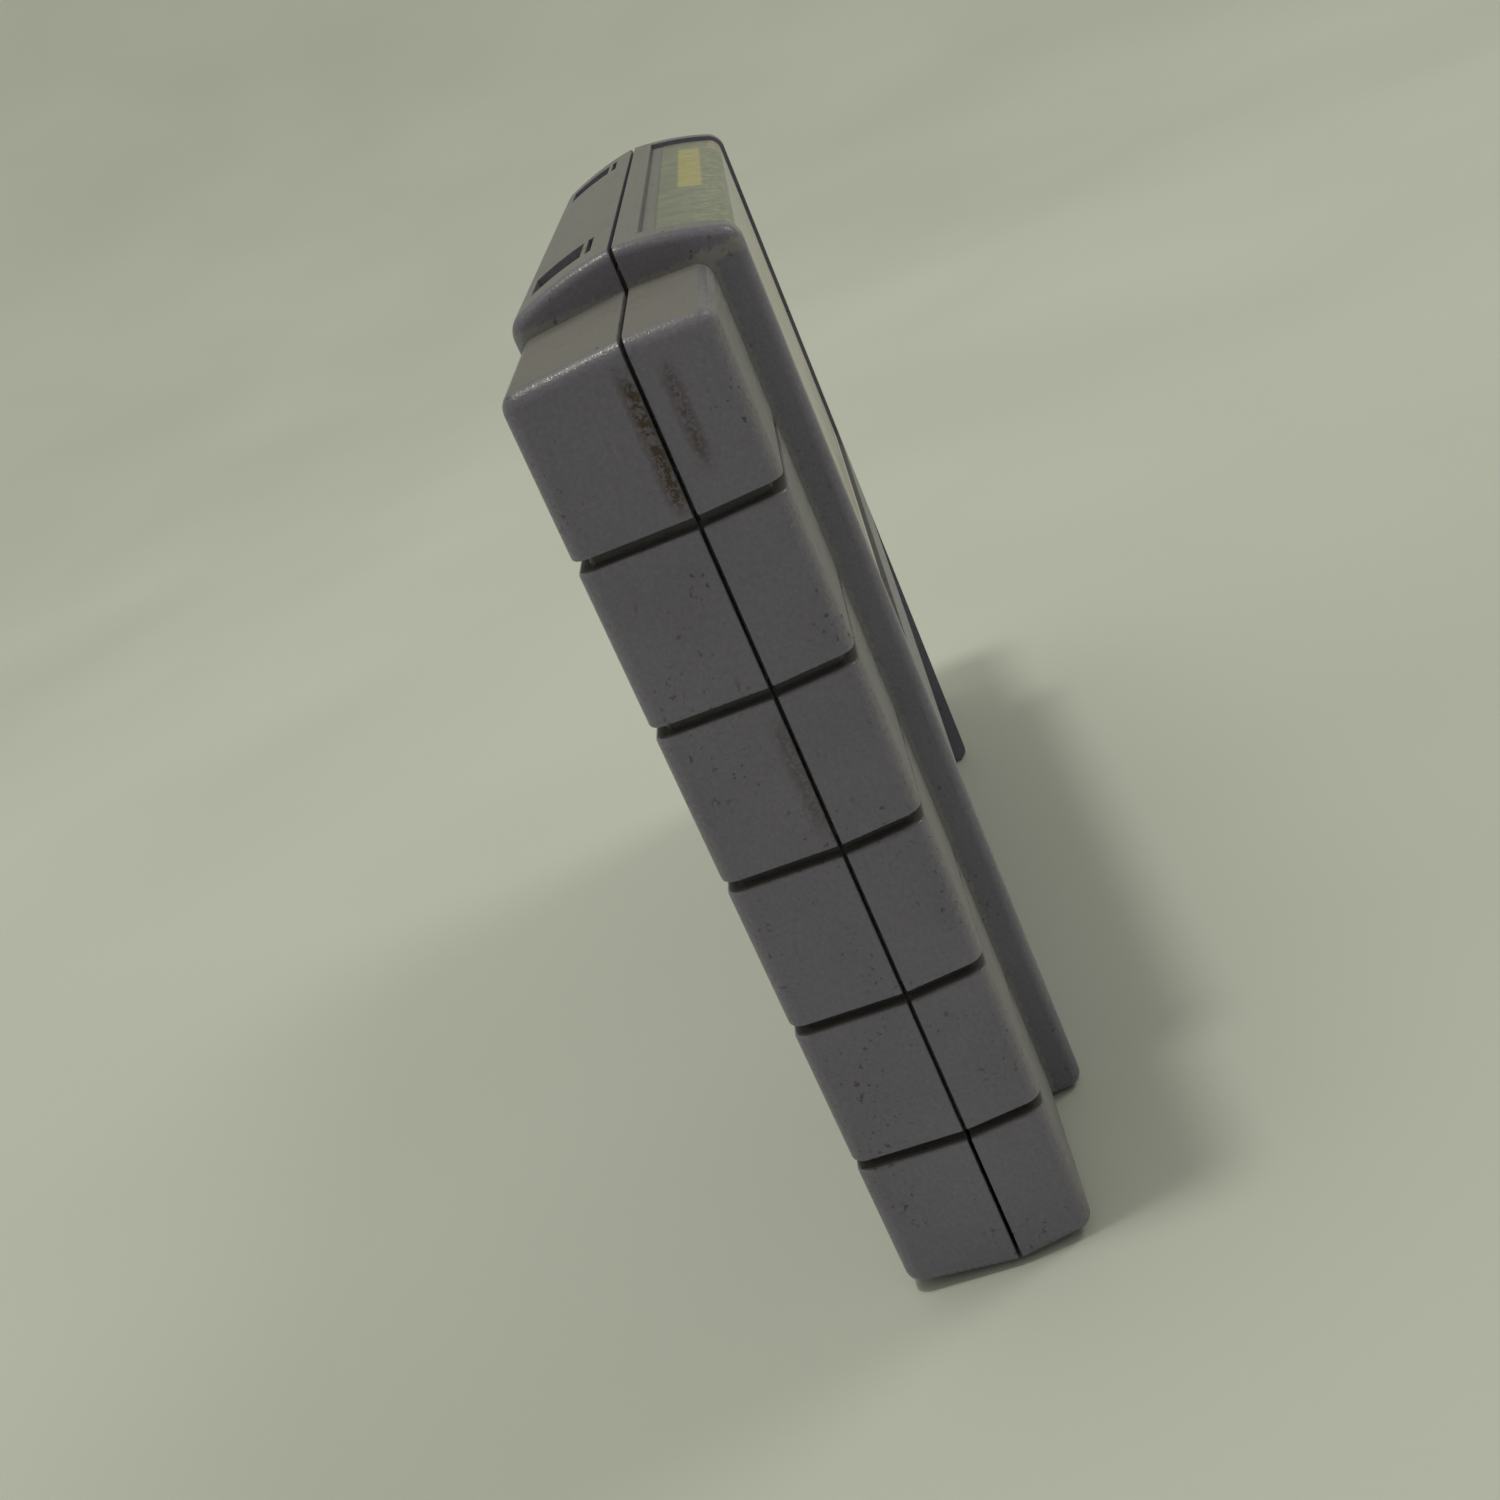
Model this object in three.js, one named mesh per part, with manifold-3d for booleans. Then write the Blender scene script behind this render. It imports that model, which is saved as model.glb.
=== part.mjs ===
// Game cartridge for a 16-bit home console, in the wide shape with ribbed side wings.
// A two-piece moulded case, its labels and screws, and the circuit board with its chips and battery.
// Frame: +X across the width, -Y the label side, +Z up, origin at the centre of the footprint.

import * as THREE from 'three';
import { mergeVertices } from 'three/addons/utils/BufferGeometryUtils.js';
import Module from 'manifold-3d';

const wasm = await Module();
wasm.setup();

// ---------------------------------------------------------------- driving dimensions, in millimetres

// Case
const caseWidth = 136;
const caseHeight = 87;
const frontDepth = 10.0; // parting line to the front panel
const rearDepth = 10.0; // parting line to the back
const centreWidth = 90.6; // the raised middle between the two wings
const wingDrop = 3.4; // wing tops below the top of the middle
const wingFrontStep = 3.1; // wing fronts behind the front panel
const wingRearStep = 0.2; // wing backs in front of the back panel
const wall = 2.0;
const ceilingExtra = 0.6; // the top is this much thicker than the walls
const grooveWall = 1.5; // wall left behind a groove in the front or back of a wing
const partingGap = 0.3;
const sideDraft = Math.tan(THREE.MathUtils.degToRad(6)); // outer sides lean in, away from the parting line
const endDraft = Math.tan(THREE.MathUtils.degToRad(4)); // tops and wing bottoms lean in
const crownRadius = 30; // slow rounding of the middle's top, from the parting line to each face
const topCornerRadius = 1.3; // where the crowned top meets the front and rear faces
const ceilingFlat = 4; // how far the hollow's flat ceiling reaches from the parting line
const frontCeilingFall = 1.2; // ceiling's fall from there to the front wall
const rearCeilingFall = 3;
const bottomRadius = 1.4;
const wingEdgeRadius = 1.2;
const wingCornerRadius = 1.6;
const coreCornerRadius = 0.5; // of the wing's core, at the bottom of the grooves
const centreEdgeRadius = 1.0;

// Grooves that part each wing into blocks
const blockCount = 6;
const grooveWidth = 0.9;
const grooveDepth = 1.1;

// Front panel: a recess for the folded label, and a hollow that slopes in towards the bottom
const labelRecessDepth = 0.9;
const labelRecessBottom = 46.0;
const labelRecessTopEdge = 2.25; // distance from the parting line on the top face
const labelRecessWidth = 82.0;
const labelThickness = 0.25;
const labelMargin = 1.2; // between the label's edge and its recess
const labelCornerRadius = 2.0;
const slopeTop = 36.0;
const slopeDepth = 1.9;
const slopeRim = 3.0; // rim left standing beside the slope

// Back: a recess for the small label, two lock notches and two hook pockets on top
const rearLabelWidth = 64;
const rearLabelHeight = 28;
const rearLabelBottom = 34;
const rearLabelRecess = 0.7;
const notchWidth = 8;
const notchHeight = 9.5;
const notchDepth = 2.0;
const notchX = 35;
const hookX = 34.5;
const hookWidth = 9;
const hookThickness = 1.3;
const hookSlotStart = 1.5;
const hookSlotWidth = 1.0;
const hookRib = 0.45; // rib between the slot and the pocket
const pocketLength = 4.95;
const pocketDepth = 1.5;
const pocketFall = 1.2; // how much lower the pocket's floor is at its back
const hookRoot = 3; // length of the arm's root under the front shell's ceiling
const hookTipDrop = 1.4; // tip of the barb below the outer face

// Lip of the front shell that enters the rear shell
const lipThickness = 0.7;
const lipHeight = 1.2;
const lipBottom = 13.0;

// Connector mouth in the bottom
const mouthCentreWidth = 60;
const mouthSideWidth = 10;
const mouthRib = 2.0;
const mouthDepth = 10.4;
const mouthHeight = 10;

// Board
const boardThickness = 1.2;
const boardMiddleY = 1.0;
const boardWidth = 98;
const boardBottom = 20;
const boardTopDrop = 13; // board's top edge below the top of the case
const tongueWidth = 58.4;
const tongueBottom = 6;
const tongueChamfer = 0.35;
const locatorX = 44;
const locatorDrop = 5; // locating pins below the board's top edge
const locatorRadius = 1.4;
const locatorShoulder = 1.2; // ledge round each pin's foot, for the board to rest on
const locatorStandProud = 0.9; // how far each pin comes through the board
const postX = 40; // posts that hold the board
const postWidth = 2;
const postLength = 6;
const postInset = 1; // posts in from the board's edges

// Case screws
const screwX = 37;
const screwZ = 14.6;
const screwHeadRadius = 2.9;
const screwHeadHeight = 2.2;
const screwHeadEdge = 0.3; // rounding of the head's rim
const screwPointLength = 1;
const screwShankRadius = 1.4;
const screwKnobRadius = 1.9; // six-lobed knob that the tool grips
const screwKnobHeight = 1.3;
const screwLobeCount = 6;
const screwLobeCut = 0.5; // radius of each hollow between two lobes
const screwTipClearance = 1.2; // from the screw's tip to the back wall
const headClearance = 0.5;
const shankClearance = 0.35;
const shoulderY = -3.0; // face that the screw head bears on
const shoulderThickness = 1.5;
const bossWall = 1.1;
const rearBossWall = 1.5;

// Chips lie in three rows across the board, with equal spaces between the rows
const chipStandoff = 0.5;
const legReach = 1.1;
const legThickness = 0.3;
const legWidth = 0.5;
const legShare = 0.4; // widest leg as a share of the pitch, on a fine-pitched chip
const chipCorner = 0.3;
const chipEdge = 0.25;
const dimpleInset = 1.6; // mark by the first leg, in from the chip's end
const dimpleRadius = 0.6;
const dimpleDepth = 0.2;
const romChip = { length: 46, width: 13.4, height: 3.6, legs: 36, pitch: 2.54 };
const ramChip = { length: 30, width: 8.6, height: 3.2, legs: 24, pitch: 2.54 };
const lockoutChip = { length: 12, width: 7.6, height: 2.4, legs: 18, pitch: 1.27 };
const decoderChip = { length: 20, width: 6.4, height: 3.0, legs: 16, pitch: 2.4 };
const romX = -10;
const ramX = -20;
const decoderX = -18;

// Backup battery and its two tabs
const cellRadius = 10;
const cellHeight = 3.2;
const cellClearance = 0.4; // from the battery's outer tab to the wall of the middle
const cellDrop = 7; // cell's rim below the board's top edge
const tabThickness = 0.25;
const tabWidth = 3.6;
const tabOverlap = 4; // how far each tab lies over or under the cell's middle
const tabReach = 1.9; // tab past the cell's rim
const cellRim = 0.35;
const cellLidInset = 0.9;

// Small parts with wire ends
const wireRadius = 0.3;
const wireReach = 1.6;
const smallPartRise = 0.4; // lowest side of a part above the board's face
const ceramicSize = { length: 3.6, radius: 1.2 };
const resistorSize = { length: 5.4, radius: 1.1, waist: 0.18 };
const diodeSize = { length: 4.0, radius: 0.9 };
const capacitorLength = 7;
const capacitorRadius = 2.5;
const canCrimp = 0.35;
const smallColumns = [1, 12]; // across, between the chip and the battery
const smallRows = [0.16, 0.42, 0.75]; // shares of the height above the middle chip
const sidePartX = 42;
const sideRows = [0.2, 0.6]; // shares of the height between the lower and upper posts

const touch = 0.3; // gap kept where two pieces meet
const overlapForCut = 1; // how far a cutting tool runs past the faces it opens
const rootIn = 0.5; // how far a rib, post or boss runs into the wall it grows from

// ---------------------------------------------------------------- derived values

const halfWidth = caseWidth / 2;
const centreHalf = centreWidth / 2;
const wingTop = caseHeight - wingDrop;
const wingFront = frontDepth - wingFrontStep;
const wingRear = rearDepth - wingRearStep;
const blockPitch = wingTop / blockCount;
const middleHeight = caseHeight / 2;
const cavityHalf = halfWidth - grooveDepth - wall;
const cavityCentreHalf = centreHalf - wall;
const cavityWingTop = wingTop - wall - ceilingExtra;
const cavityTop = caseHeight - wall - ceilingExtra;
const cavityWingFront = wingFront - grooveDepth - grooveWall;
const cavityWingRear = wingRear - grooveDepth - grooveWall;
const cavityFront = frontDepth - wall;
const cavityFrontLow = frontDepth - wall - slopeDepth;
const cavityRear = rearDepth - wall;
const boardFront = boardMiddleY - boardThickness / 2;
const boardRear = boardMiddleY + boardThickness / 2;
const partFace = boardFront - touch; // nearest that a part on the board's face comes to it
const boardTop = caseHeight - boardTopDrop;
const locatorZ = boardTop - locatorDrop;
const headHoleRadius = screwHeadRadius + headClearance;
const bossRadius = headHoleRadius + bossWall;
const shankHoleRadius = screwShankRadius + shankClearance;

const rowHeights = [decoderChip, romChip, ramChip].map((chipSize) => chipSize.width + 2 * legReach);
const rowSpace = (boardTop - boardBottom - rowHeights[0] - rowHeights[1] - rowHeights[2]) / 4;
const decoderZ = boardBottom + rowSpace + rowHeights[0] / 2;
const romZ = decoderZ + rowHeights[0] / 2 + rowSpace + rowHeights[1] / 2;
const ramZ = romZ + rowHeights[1] / 2 + rowSpace + rowHeights[2] / 2;
const cellX = cavityCentreHalf - cellClearance - tabReach - cellRadius;
const cellZ = boardTop - cellDrop - cellRadius;
const lockoutZ = (boardBottom + cellZ - cellRadius) / 2;
const smallPartBase = romZ + rowHeights[1] / 2;
const smallPartZ = smallRows.map((share) => smallPartBase + share * (boardTop - smallPartBase));
const betweenPosts = boardTop - boardBottom - 2 * (postInset + postLength);
const sidePartZ = sideRows.map((share) => boardBottom + postInset + postLength + share * betweenPosts);
const cellBack = partFace - tabThickness - touch;
const cellFront = cellBack - cellHeight;

// ---------------------------------------------------------------- solids

function toSolid(geometry) {
  const bare = geometry.index ? geometry.toNonIndexed() : geometry.clone();
  bare.deleteAttribute('normal');
  bare.deleteAttribute('uv');
  const merged = mergeVertices(bare, 1e-4);
  return new wasm.Manifold(new wasm.Mesh({
    numProp: 3,
    vertProperties: new Float32Array(merged.attributes.position.array),
    triVerts: new Uint32Array(merged.index.array),
  }));
}

function toGeometry(solid) {
  const mesh = solid.getMesh();
  const geometry = new THREE.BufferGeometry();
  geometry.setAttribute('position', new THREE.BufferAttribute(new Float32Array(mesh.vertProperties), 3));
  geometry.setIndex(new THREE.BufferAttribute(new Uint32Array(mesh.triVerts), 1));
  geometry.computeVertexNormals();
  return geometry;
}

function addAll(first, ...rest) {
  return rest.reduce((sum, solid) => sum.add(solid), first);
}

function cutAll(first, ...rest) {
  return rest.reduce((left, solid) => left.subtract(solid), first);
}

// A box between two corners.
function box(x0, x1, y0, y1, z0, z1) {
  const geometry = new THREE.BoxGeometry(x1 - x0, y1 - y0, z1 - z0);
  geometry.translate((x0 + x1) / 2, (y0 + y1) / 2, (z0 + z1) / 2);
  return toSolid(geometry);
}

// A round bar along Y.
function barY(x, z, radius, y0, y1, sides = 16) {
  const geometry = new THREE.CylinderGeometry(radius, radius, y1 - y0, sides);
  geometry.translate(x, (y0 + y1) / 2, z);
  return toSolid(geometry);
}

// An outline in X and Z, run along Y from y0 to y1, with both ends rounded.
function alongY(shape, y0, y1, round = 0, segments = 3) {
  const geometry = new THREE.ExtrudeGeometry(shape, {
    depth: y1 - y0 - 2 * round,
    curveSegments: 4,
    bevelEnabled: round > 0,
    bevelThickness: round,
    bevelSize: round,
    bevelOffset: -round,
    bevelSegments: segments,
  });
  geometry.rotateX(Math.PI / 2);
  geometry.translate(0, y1 - round, 0);
  return toSolid(geometry);
}

// An outline in Y and Z, run along X from x0 to x1, with both ends rounded.
function alongX(shape, x0, x1, round = 0, segments = 3) {
  const geometry = new THREE.ExtrudeGeometry(shape, {
    depth: x1 - x0 - 2 * round,
    curveSegments: 6,
    bevelEnabled: round > 0,
    bevelThickness: round,
    bevelSize: round,
    bevelOffset: -round,
    bevelSegments: segments,
  });
  geometry.rotateX(Math.PI / 2);
  geometry.rotateZ(Math.PI / 2);
  geometry.translate(x0 + round, 0, 0);
  return toSolid(geometry);
}

// An outline of radius and height, spun round an axis along Y, with its points given as [radius, y].
function spin(points, sides) {
  return new THREE.LatheGeometry(points.map(([r, y]) => new THREE.Vector2(r, y)), sides);
}

// A rectangle with rounded corners.
function roundedRectangle(x0, x1, z0, z1, radius) {
  const shape = new THREE.Shape();
  shape.moveTo(x0 + radius, z0);
  shape.lineTo(x1 - radius, z0);
  shape.absarc(x1 - radius, z0 + radius, radius, -Math.PI / 2, 0);
  shape.lineTo(x1, z1 - radius);
  shape.absarc(x1 - radius, z1 - radius, radius, 0, Math.PI / 2);
  shape.lineTo(x0 + radius, z1);
  shape.absarc(x0 + radius, z1 - radius, radius, Math.PI / 2, Math.PI);
  shape.lineTo(x0, z0 + radius);
  shape.absarc(x0 + radius, z0 + radius, radius, Math.PI, 1.5 * Math.PI);
  return shape;
}

function polygon(points) {
  const shape = new THREE.Shape();
  points.forEach(([x, y], i) => (i ? shape.lineTo(x, y) : shape.moveTo(x, y)));
  return shape;
}

// Draft: the walls of one half lean towards the middle of the case as they leave the parting line.
function lean(solid, side, bottomToo) {
  const mesh = solid.getMesh();
  const points = new Float32Array(mesh.vertProperties);
  for (let i = 0; i < points.length; i += 3) {
    const distance = side * points[i + 1];
    const above = points[i + 2] - middleHeight;
    points[i] *= 1 - (sideDraft * distance) / halfWidth;
    if (above > 0 || bottomToo) points[i + 2] -= (endDraft * distance * above) / middleHeight;
  }
  const leaned = new wasm.Mesh({ numProp: 3, vertProperties: points, triVerts: mesh.triVerts });
  return new wasm.Manifold(leaned);
}

// ---------------------------------------------------------------- the case

// Outline of the middle in Y and Z for one half, inset by a given amount. side is -1 front, 1 rear.
// The top is a wide arc from the parting line and a small one at the face.
function middleOutline(side, inset) {
  const depth = (side < 0 ? frontDepth : rearDepth) - inset;
  const corner = topCornerRadius - inset;
  const crown = crownRadius - inset;
  const top = caseHeight - inset;
  const out = depth - corner;
  const up = Math.sqrt((crown - corner) ** 2 - out ** 2);
  const turn = Math.atan2(up, out);
  const low = inset > 0 ? inset : 0;
  const points = new THREE.Path();
  points.moveTo(-wall, low);
  points.lineTo(depth - bottomRadius, low);
  points.absarc(depth - bottomRadius, low + bottomRadius, bottomRadius, -Math.PI / 2, 0);
  points.absarc(out, top - crown + up, corner, 0, turn);
  points.absarc(0, top - crown, crown, turn, Math.PI / 2);
  points.lineTo(-wall, top);
  const turned = points.getPoints(6).map((p) => new THREE.Vector2(side * p.x, p.y));
  return new THREE.Shape(side < 0 ? turned.reverse() : turned);
}

function middleBlock(side, inset, x0, x1, round) {
  return lean(alongX(middleOutline(side, inset), x0, x1, round), side, false);
}

// Both wings of one half, parted into blocks by level grooves round the side, front and back.
function wings(side) {
  const depth = side < 0 ? wingFront : wingRear;
  const near = side < 0 ? -depth : -wall;
  const far = side < 0 ? wall : depth;
  const outline = roundedRectangle(-halfWidth, halfWidth, 0, wingTop, wingCornerRadius);
  const block = lean(alongY(outline, near, far, wingEdgeRadius), side, true);
  const half = halfWidth - grooveDepth;
  const coreOutline = roundedRectangle(-half, half, grooveDepth, wingTop - grooveDepth, coreCornerRadius);
  const coreNear = side < 0 ? near + grooveDepth : near - wall;
  const coreFar = side < 0 ? far + wall : far - grooveDepth;
  const core = lean(alongY(coreOutline, coreNear, coreFar), side, true);
  const slabs = [];
  for (let i = 1; i < blockCount; i++) {
    const z = i * blockPitch;
    const reach = halfWidth + 1;
    slabs.push(box(-reach, reach, near - 1, far + 1, z - grooveWidth / 2, z + grooveWidth / 2));
  }
  return cutAll(block, ...slabs.map((slab) => slab.subtract(core)));
}

// One half of the case as a solid block.
function caseHalf(side) {
  const block = middleBlock(side, 0, -centreHalf, centreHalf, centreEdgeRadius);
  const reach = Math.max(frontDepth, rearDepth) + 1;
  const y0 = side < 0 ? -reach : partingGap / 2;
  const y1 = side < 0 ? -partingGap / 2 : reach;
  const keep = box(-halfWidth - 1, halfWidth + 1, y0, y1, -1, caseHeight + 1);
  return wings(side).add(block).intersect(keep);
}

// The hollow's outline in X and Z, grown outwards by a given amount.
function hollowOutline(grow, bottom) {
  const wide = cavityHalf + grow;
  const narrow = cavityCentreHalf + grow;
  const shoulder = cavityWingTop + grow;
  const top = cavityTop + grow;
  return polygon([
    [-wide, bottom], [wide, bottom], [wide, shoulder], [narrow, shoulder],
    [narrow, top], [-narrow, top], [-narrow, shoulder], [-wide, shoulder],
  ]);
}

// The three slots of the connector mouth, and the ways through the floor that they make.
function mouthSlots() {
  const y0 = boardMiddleY - mouthDepth / 2;
  const y1 = boardMiddleY + mouthDepth / 2;
  const half = mouthCentreWidth / 2;
  const sideStart = half + mouthRib;
  const top = mouthHeight + overlapForCut;
  return [
    box(-half, half, y0, y1, -overlapForCut, top),
    box(sideStart, sideStart + mouthSideWidth, y0, y1, -overlapForCut, top),
    box(-sideStart - mouthSideWidth, -sideStart, y0, y1, -overlapForCut, top),
  ];
}

function frontHollow() {
  const low = mouthHeight;
  const high = slopeTop + 2;
  const upper = polygon([
    [1, high], [1, cavityTop], [-ceilingFlat, cavityTop],
    [-cavityFront, cavityTop - frontCeilingFall], [-cavityFront, high],
  ]);
  return addAll(
    box(-cavityHalf, cavityHalf, -cavityWingFront, 1, wall + 1, cavityWingTop)
      .subtract(box(-centreHalf, centreHalf, -frontDepth, 2, -1, low)),
    box(-cavityCentreHalf, cavityCentreHalf, -cavityFrontLow, 1, low, high + 1),
    alongX(upper, -cavityCentreHalf, cavityCentreHalf),
    ...mouthSlots(),
  );
}

function rearHollow() {
  const low = mouthHeight;
  const centre = polygon([
    [-1, low], [cavityRear, low], [cavityRear, cavityTop - rearCeilingFall],
    [ceilingFlat, cavityTop], [-1, cavityTop],
  ]);
  return addAll(
    box(-cavityHalf, cavityHalf, -1, cavityWingRear, wall + 1, cavityWingTop)
      .subtract(box(-centreHalf, centreHalf, -2, rearDepth, -1, low)),
    alongX(centre, -cavityCentreHalf, cavityCentreHalf),
    ...mouthSlots(),
  );
}

// Recess for the label: over the front panel from labelRecessBottom and on over the top edge.
function labelRecess() {
  const half = labelRecessWidth / 2;
  const floor = middleBlock(-1, labelRecessDepth, -centreHalf, centreHalf, 0);
  const zone = box(-half, half, -frontDepth - 1, -labelRecessTopEdge, labelRecessBottom, caseHeight + 1);
  return zone.subtract(floor);
}

// Hollow of the front panel that deepens in a shallow curve to the bottom edge.
function frontSlope() {
  const shape = new THREE.Shape();
  shape.moveTo(-frontDepth - 1, slopeTop);
  shape.lineTo(-frontDepth, slopeTop);
  shape.quadraticCurveTo(-frontDepth + slopeDepth * 0.4, slopeTop * 0.55, -frontDepth + slopeDepth, -1);
  shape.lineTo(-frontDepth - 1, -1);
  const half = centreHalf - slopeRim;
  return alongX(shape, -half, half);
}

// Tubes that carry the screw heads in the front shell, and the holes through them.
function frontBosses() {
  const end = shoulderY + shoulderThickness;
  return [-screwX, screwX].map((x) => barY(x, screwZ, bossRadius, -cavityFrontLow - rootIn, end));
}

function frontScrewHoles() {
  return [-screwX, screwX].flatMap((x) => [
    barY(x, screwZ, headHoleRadius, -frontDepth - 1, shoulderY),
    barY(x, screwZ, shankHoleRadius, -frontDepth - 1, 1),
  ]);
}

// Where the board's four corner posts stand, as [x0, x1, z0, z1].
function postPlaces() {
  const low = boardBottom + postInset;
  const high = boardTop - postInset;
  return [-postX, postX].flatMap((x) => [
    [x - postWidth / 2, x + postWidth / 2, low, low + postLength],
    [x - postWidth / 2, x + postWidth / 2, high - postLength, high],
  ]);
}

// Posts that press on the board from the front, over its four corners.
function frontPosts() {
  return postPlaces().map(([x0, x1, z0, z1]) => {
    const wallInside = z0 < slopeTop ? cavityFrontLow : cavityFront;
    return box(x0, x1, -wallInside - rootIn, boardFront - touch, z0, z1);
  });
}

// Arms of the front shell that reach under the rear shell's top and hook up into its slots.
function hooks() {
  const top = cavityTop - touch;
  const tip = hookSlotStart + hookSlotWidth - touch;
  return [-hookX, hookX].map((x) => {
    const x0 = x - hookWidth / 2 + touch;
    const x1 = x + hookWidth / 2 - touch;
    const root = box(x0, x1, -1 - hookRoot, -1, top - hookThickness, cavityTop + rootIn);
    const arm = box(x0, x1, -2, tip, top - hookThickness, top);
    const barb = box(x0, x1, hookSlotStart + touch, tip, top - hookThickness, caseHeight - hookTipDrop);
    return addAll(root, arm, barb);
  });
}

function lip() {
  const ring = alongY(hollowOutline(lipThickness, lipBottom), -1, lipHeight)
    .subtract(alongY(hollowOutline(0, lipBottom - 1), -2, lipHeight + 1));
  const clearOfHooks = [-hookX, hookX].map((x) => (
    box(x - hookWidth / 2 - 1, x + hookWidth / 2 + 1, 0, lipHeight + 1, cavityTop - 3, caseHeight)
  ));
  return cutAll(ring, ...clearOfHooks);
}

function frontShell() {
  const open = cutAll(caseHalf(-1), frontHollow(), labelRecess());
  const joined = addAll(open, ...frontBosses(), ...frontPosts(), ...hooks(), lip());
  return cutAll(joined, frontSlope(), ...frontScrewHoles());
}

// Pockets and slots on top of the rear shell, where the hooks catch.
function hookOpenings() {
  const slotEnd = hookSlotStart + hookSlotWidth;
  const start = slotEnd + hookRib;
  const end = start + pocketLength;
  const floor = caseHeight - pocketDepth;
  const pocket = polygon([
    [start, floor], [end, floor - pocketFall], [end + 1, caseHeight + 1], [start, caseHeight + 1],
  ]);
  return [-hookX, hookX].flatMap((x) => {
    const x0 = x - hookWidth / 2;
    const x1 = x + hookWidth / 2;
    return [
      box(x0, x1, hookSlotStart, slotEnd, cavityTop - 1, caseHeight + 1),
      alongX(pocket, x0, x1),
    ];
  });
}

function rearBosses() {
  const start = shoulderY + shoulderThickness + touch;
  const radius = shankHoleRadius + rearBossWall;
  return [-screwX, screwX].map((x) => barY(x, screwZ, radius, start, cavityRear + rootIn));
}

function rearScrewHoles() {
  const end = cavityRear - screwTipClearance / 3;
  return [-screwX, screwX].map((x) => barY(x, screwZ, shankHoleRadius, shoulderY, end));
}

// Ledges behind the board, with two pins that locate it.
function rearPosts() {
  const back = cavityWingRear + rootIn;
  const face = boardRear + touch;
  const low = postPlaces().filter(([, , z0]) => z0 < middleHeight);
  const ledges = low.map(([x0, x1, z0, z1]) => box(x0, x1, face, cavityRear + rootIn, z0, z1));
  const pins = [-locatorX, locatorX].flatMap((x) => [
    barY(x, locatorZ, locatorRadius + locatorShoulder, face, back),
    barY(x, locatorZ, locatorRadius, boardFront - locatorStandProud, back),
  ]);
  return [...ledges, ...pins];
}

function lockNotches() {
  return [-notchX, notchX].map((x) => (
    box(x - notchWidth / 2, x + notchWidth / 2, rearDepth - notchDepth, rearDepth + 1, -1, notchHeight)
  ));
}

function rearLabelOutline(shrink) {
  const half = rearLabelWidth / 2 - shrink;
  const top = rearLabelBottom + rearLabelHeight - shrink;
  return roundedRectangle(-half, half, rearLabelBottom + shrink, top, labelCornerRadius);
}

function rearShell() {
  const lipRoom = alongY(hollowOutline(lipThickness + touch, lipBottom - touch), -1, lipHeight + touch)
    .subtract(alongY(hollowOutline(0, lipBottom - 3), -2, lipHeight + touch + 1));
  const recess = alongY(rearLabelOutline(0), rearDepth - rearLabelRecess, rearDepth + 1);
  const open = cutAll(caseHalf(1), rearHollow(), lipRoom, recess, ...lockNotches(), ...hookOpenings());
  return cutAll(addAll(open, ...rearBosses(), ...rearPosts()), ...rearScrewHoles());
}

// ---------------------------------------------------------------- labels and screws

function frontLabel() {
  const face = labelRecessDepth - touch - labelThickness;
  const outer = middleBlock(-1, face, -centreHalf, centreHalf, 0);
  const inner = middleBlock(-1, face + labelThickness, -centreHalf - 1, centreHalf + 1, 0);
  const half = labelRecessWidth / 2 - labelMargin;
  const bottom = labelRecessBottom + labelMargin;
  const outline = roundedRectangle(-half, half, bottom, caseHeight + 10, labelCornerRadius);
  const zone = alongY(outline, -frontDepth - 1, -labelRecessTopEdge - labelMargin);
  return outer.subtract(inner).intersect(zone);
}

function rearLabel() {
  const back = rearDepth - rearLabelRecess + touch;
  return alongY(rearLabelOutline(labelMargin), back, back + labelThickness);
}

function screw(x) {
  const headBack = shoulderY - touch;
  const flangeFront = headBack - screwHeadHeight + screwKnobHeight;
  const knobFront = headBack - screwHeadHeight;
  const tip = cavityRear - screwTipClearance;
  const geometry = spin([
    [0, knobFront],
    [screwKnobRadius - screwHeadEdge, knobFront],
    [screwKnobRadius, knobFront + screwHeadEdge],
    [screwKnobRadius, flangeFront],
    [screwHeadRadius - screwHeadEdge, flangeFront],
    [screwHeadRadius, flangeFront + screwHeadEdge],
    [screwHeadRadius, headBack],
    [screwShankRadius, headBack],
    [screwShankRadius, tip - screwPointLength],
    [0, tip],
  ], 24);
  geometry.translate(x, 0, screwZ);
  const hollows = [];
  for (let i = 0; i < screwLobeCount; i++) {
    const angle = (i / screwLobeCount) * 2 * Math.PI;
    const hollowX = x + screwKnobRadius * Math.cos(angle);
    const hollowZ = screwZ + screwKnobRadius * Math.sin(angle);
    hollows.push(barY(hollowX, hollowZ, screwLobeCut, knobFront - 1, flangeFront, 10));
  }
  return cutAll(toSolid(geometry), ...hollows);
}

// ---------------------------------------------------------------- board

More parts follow.
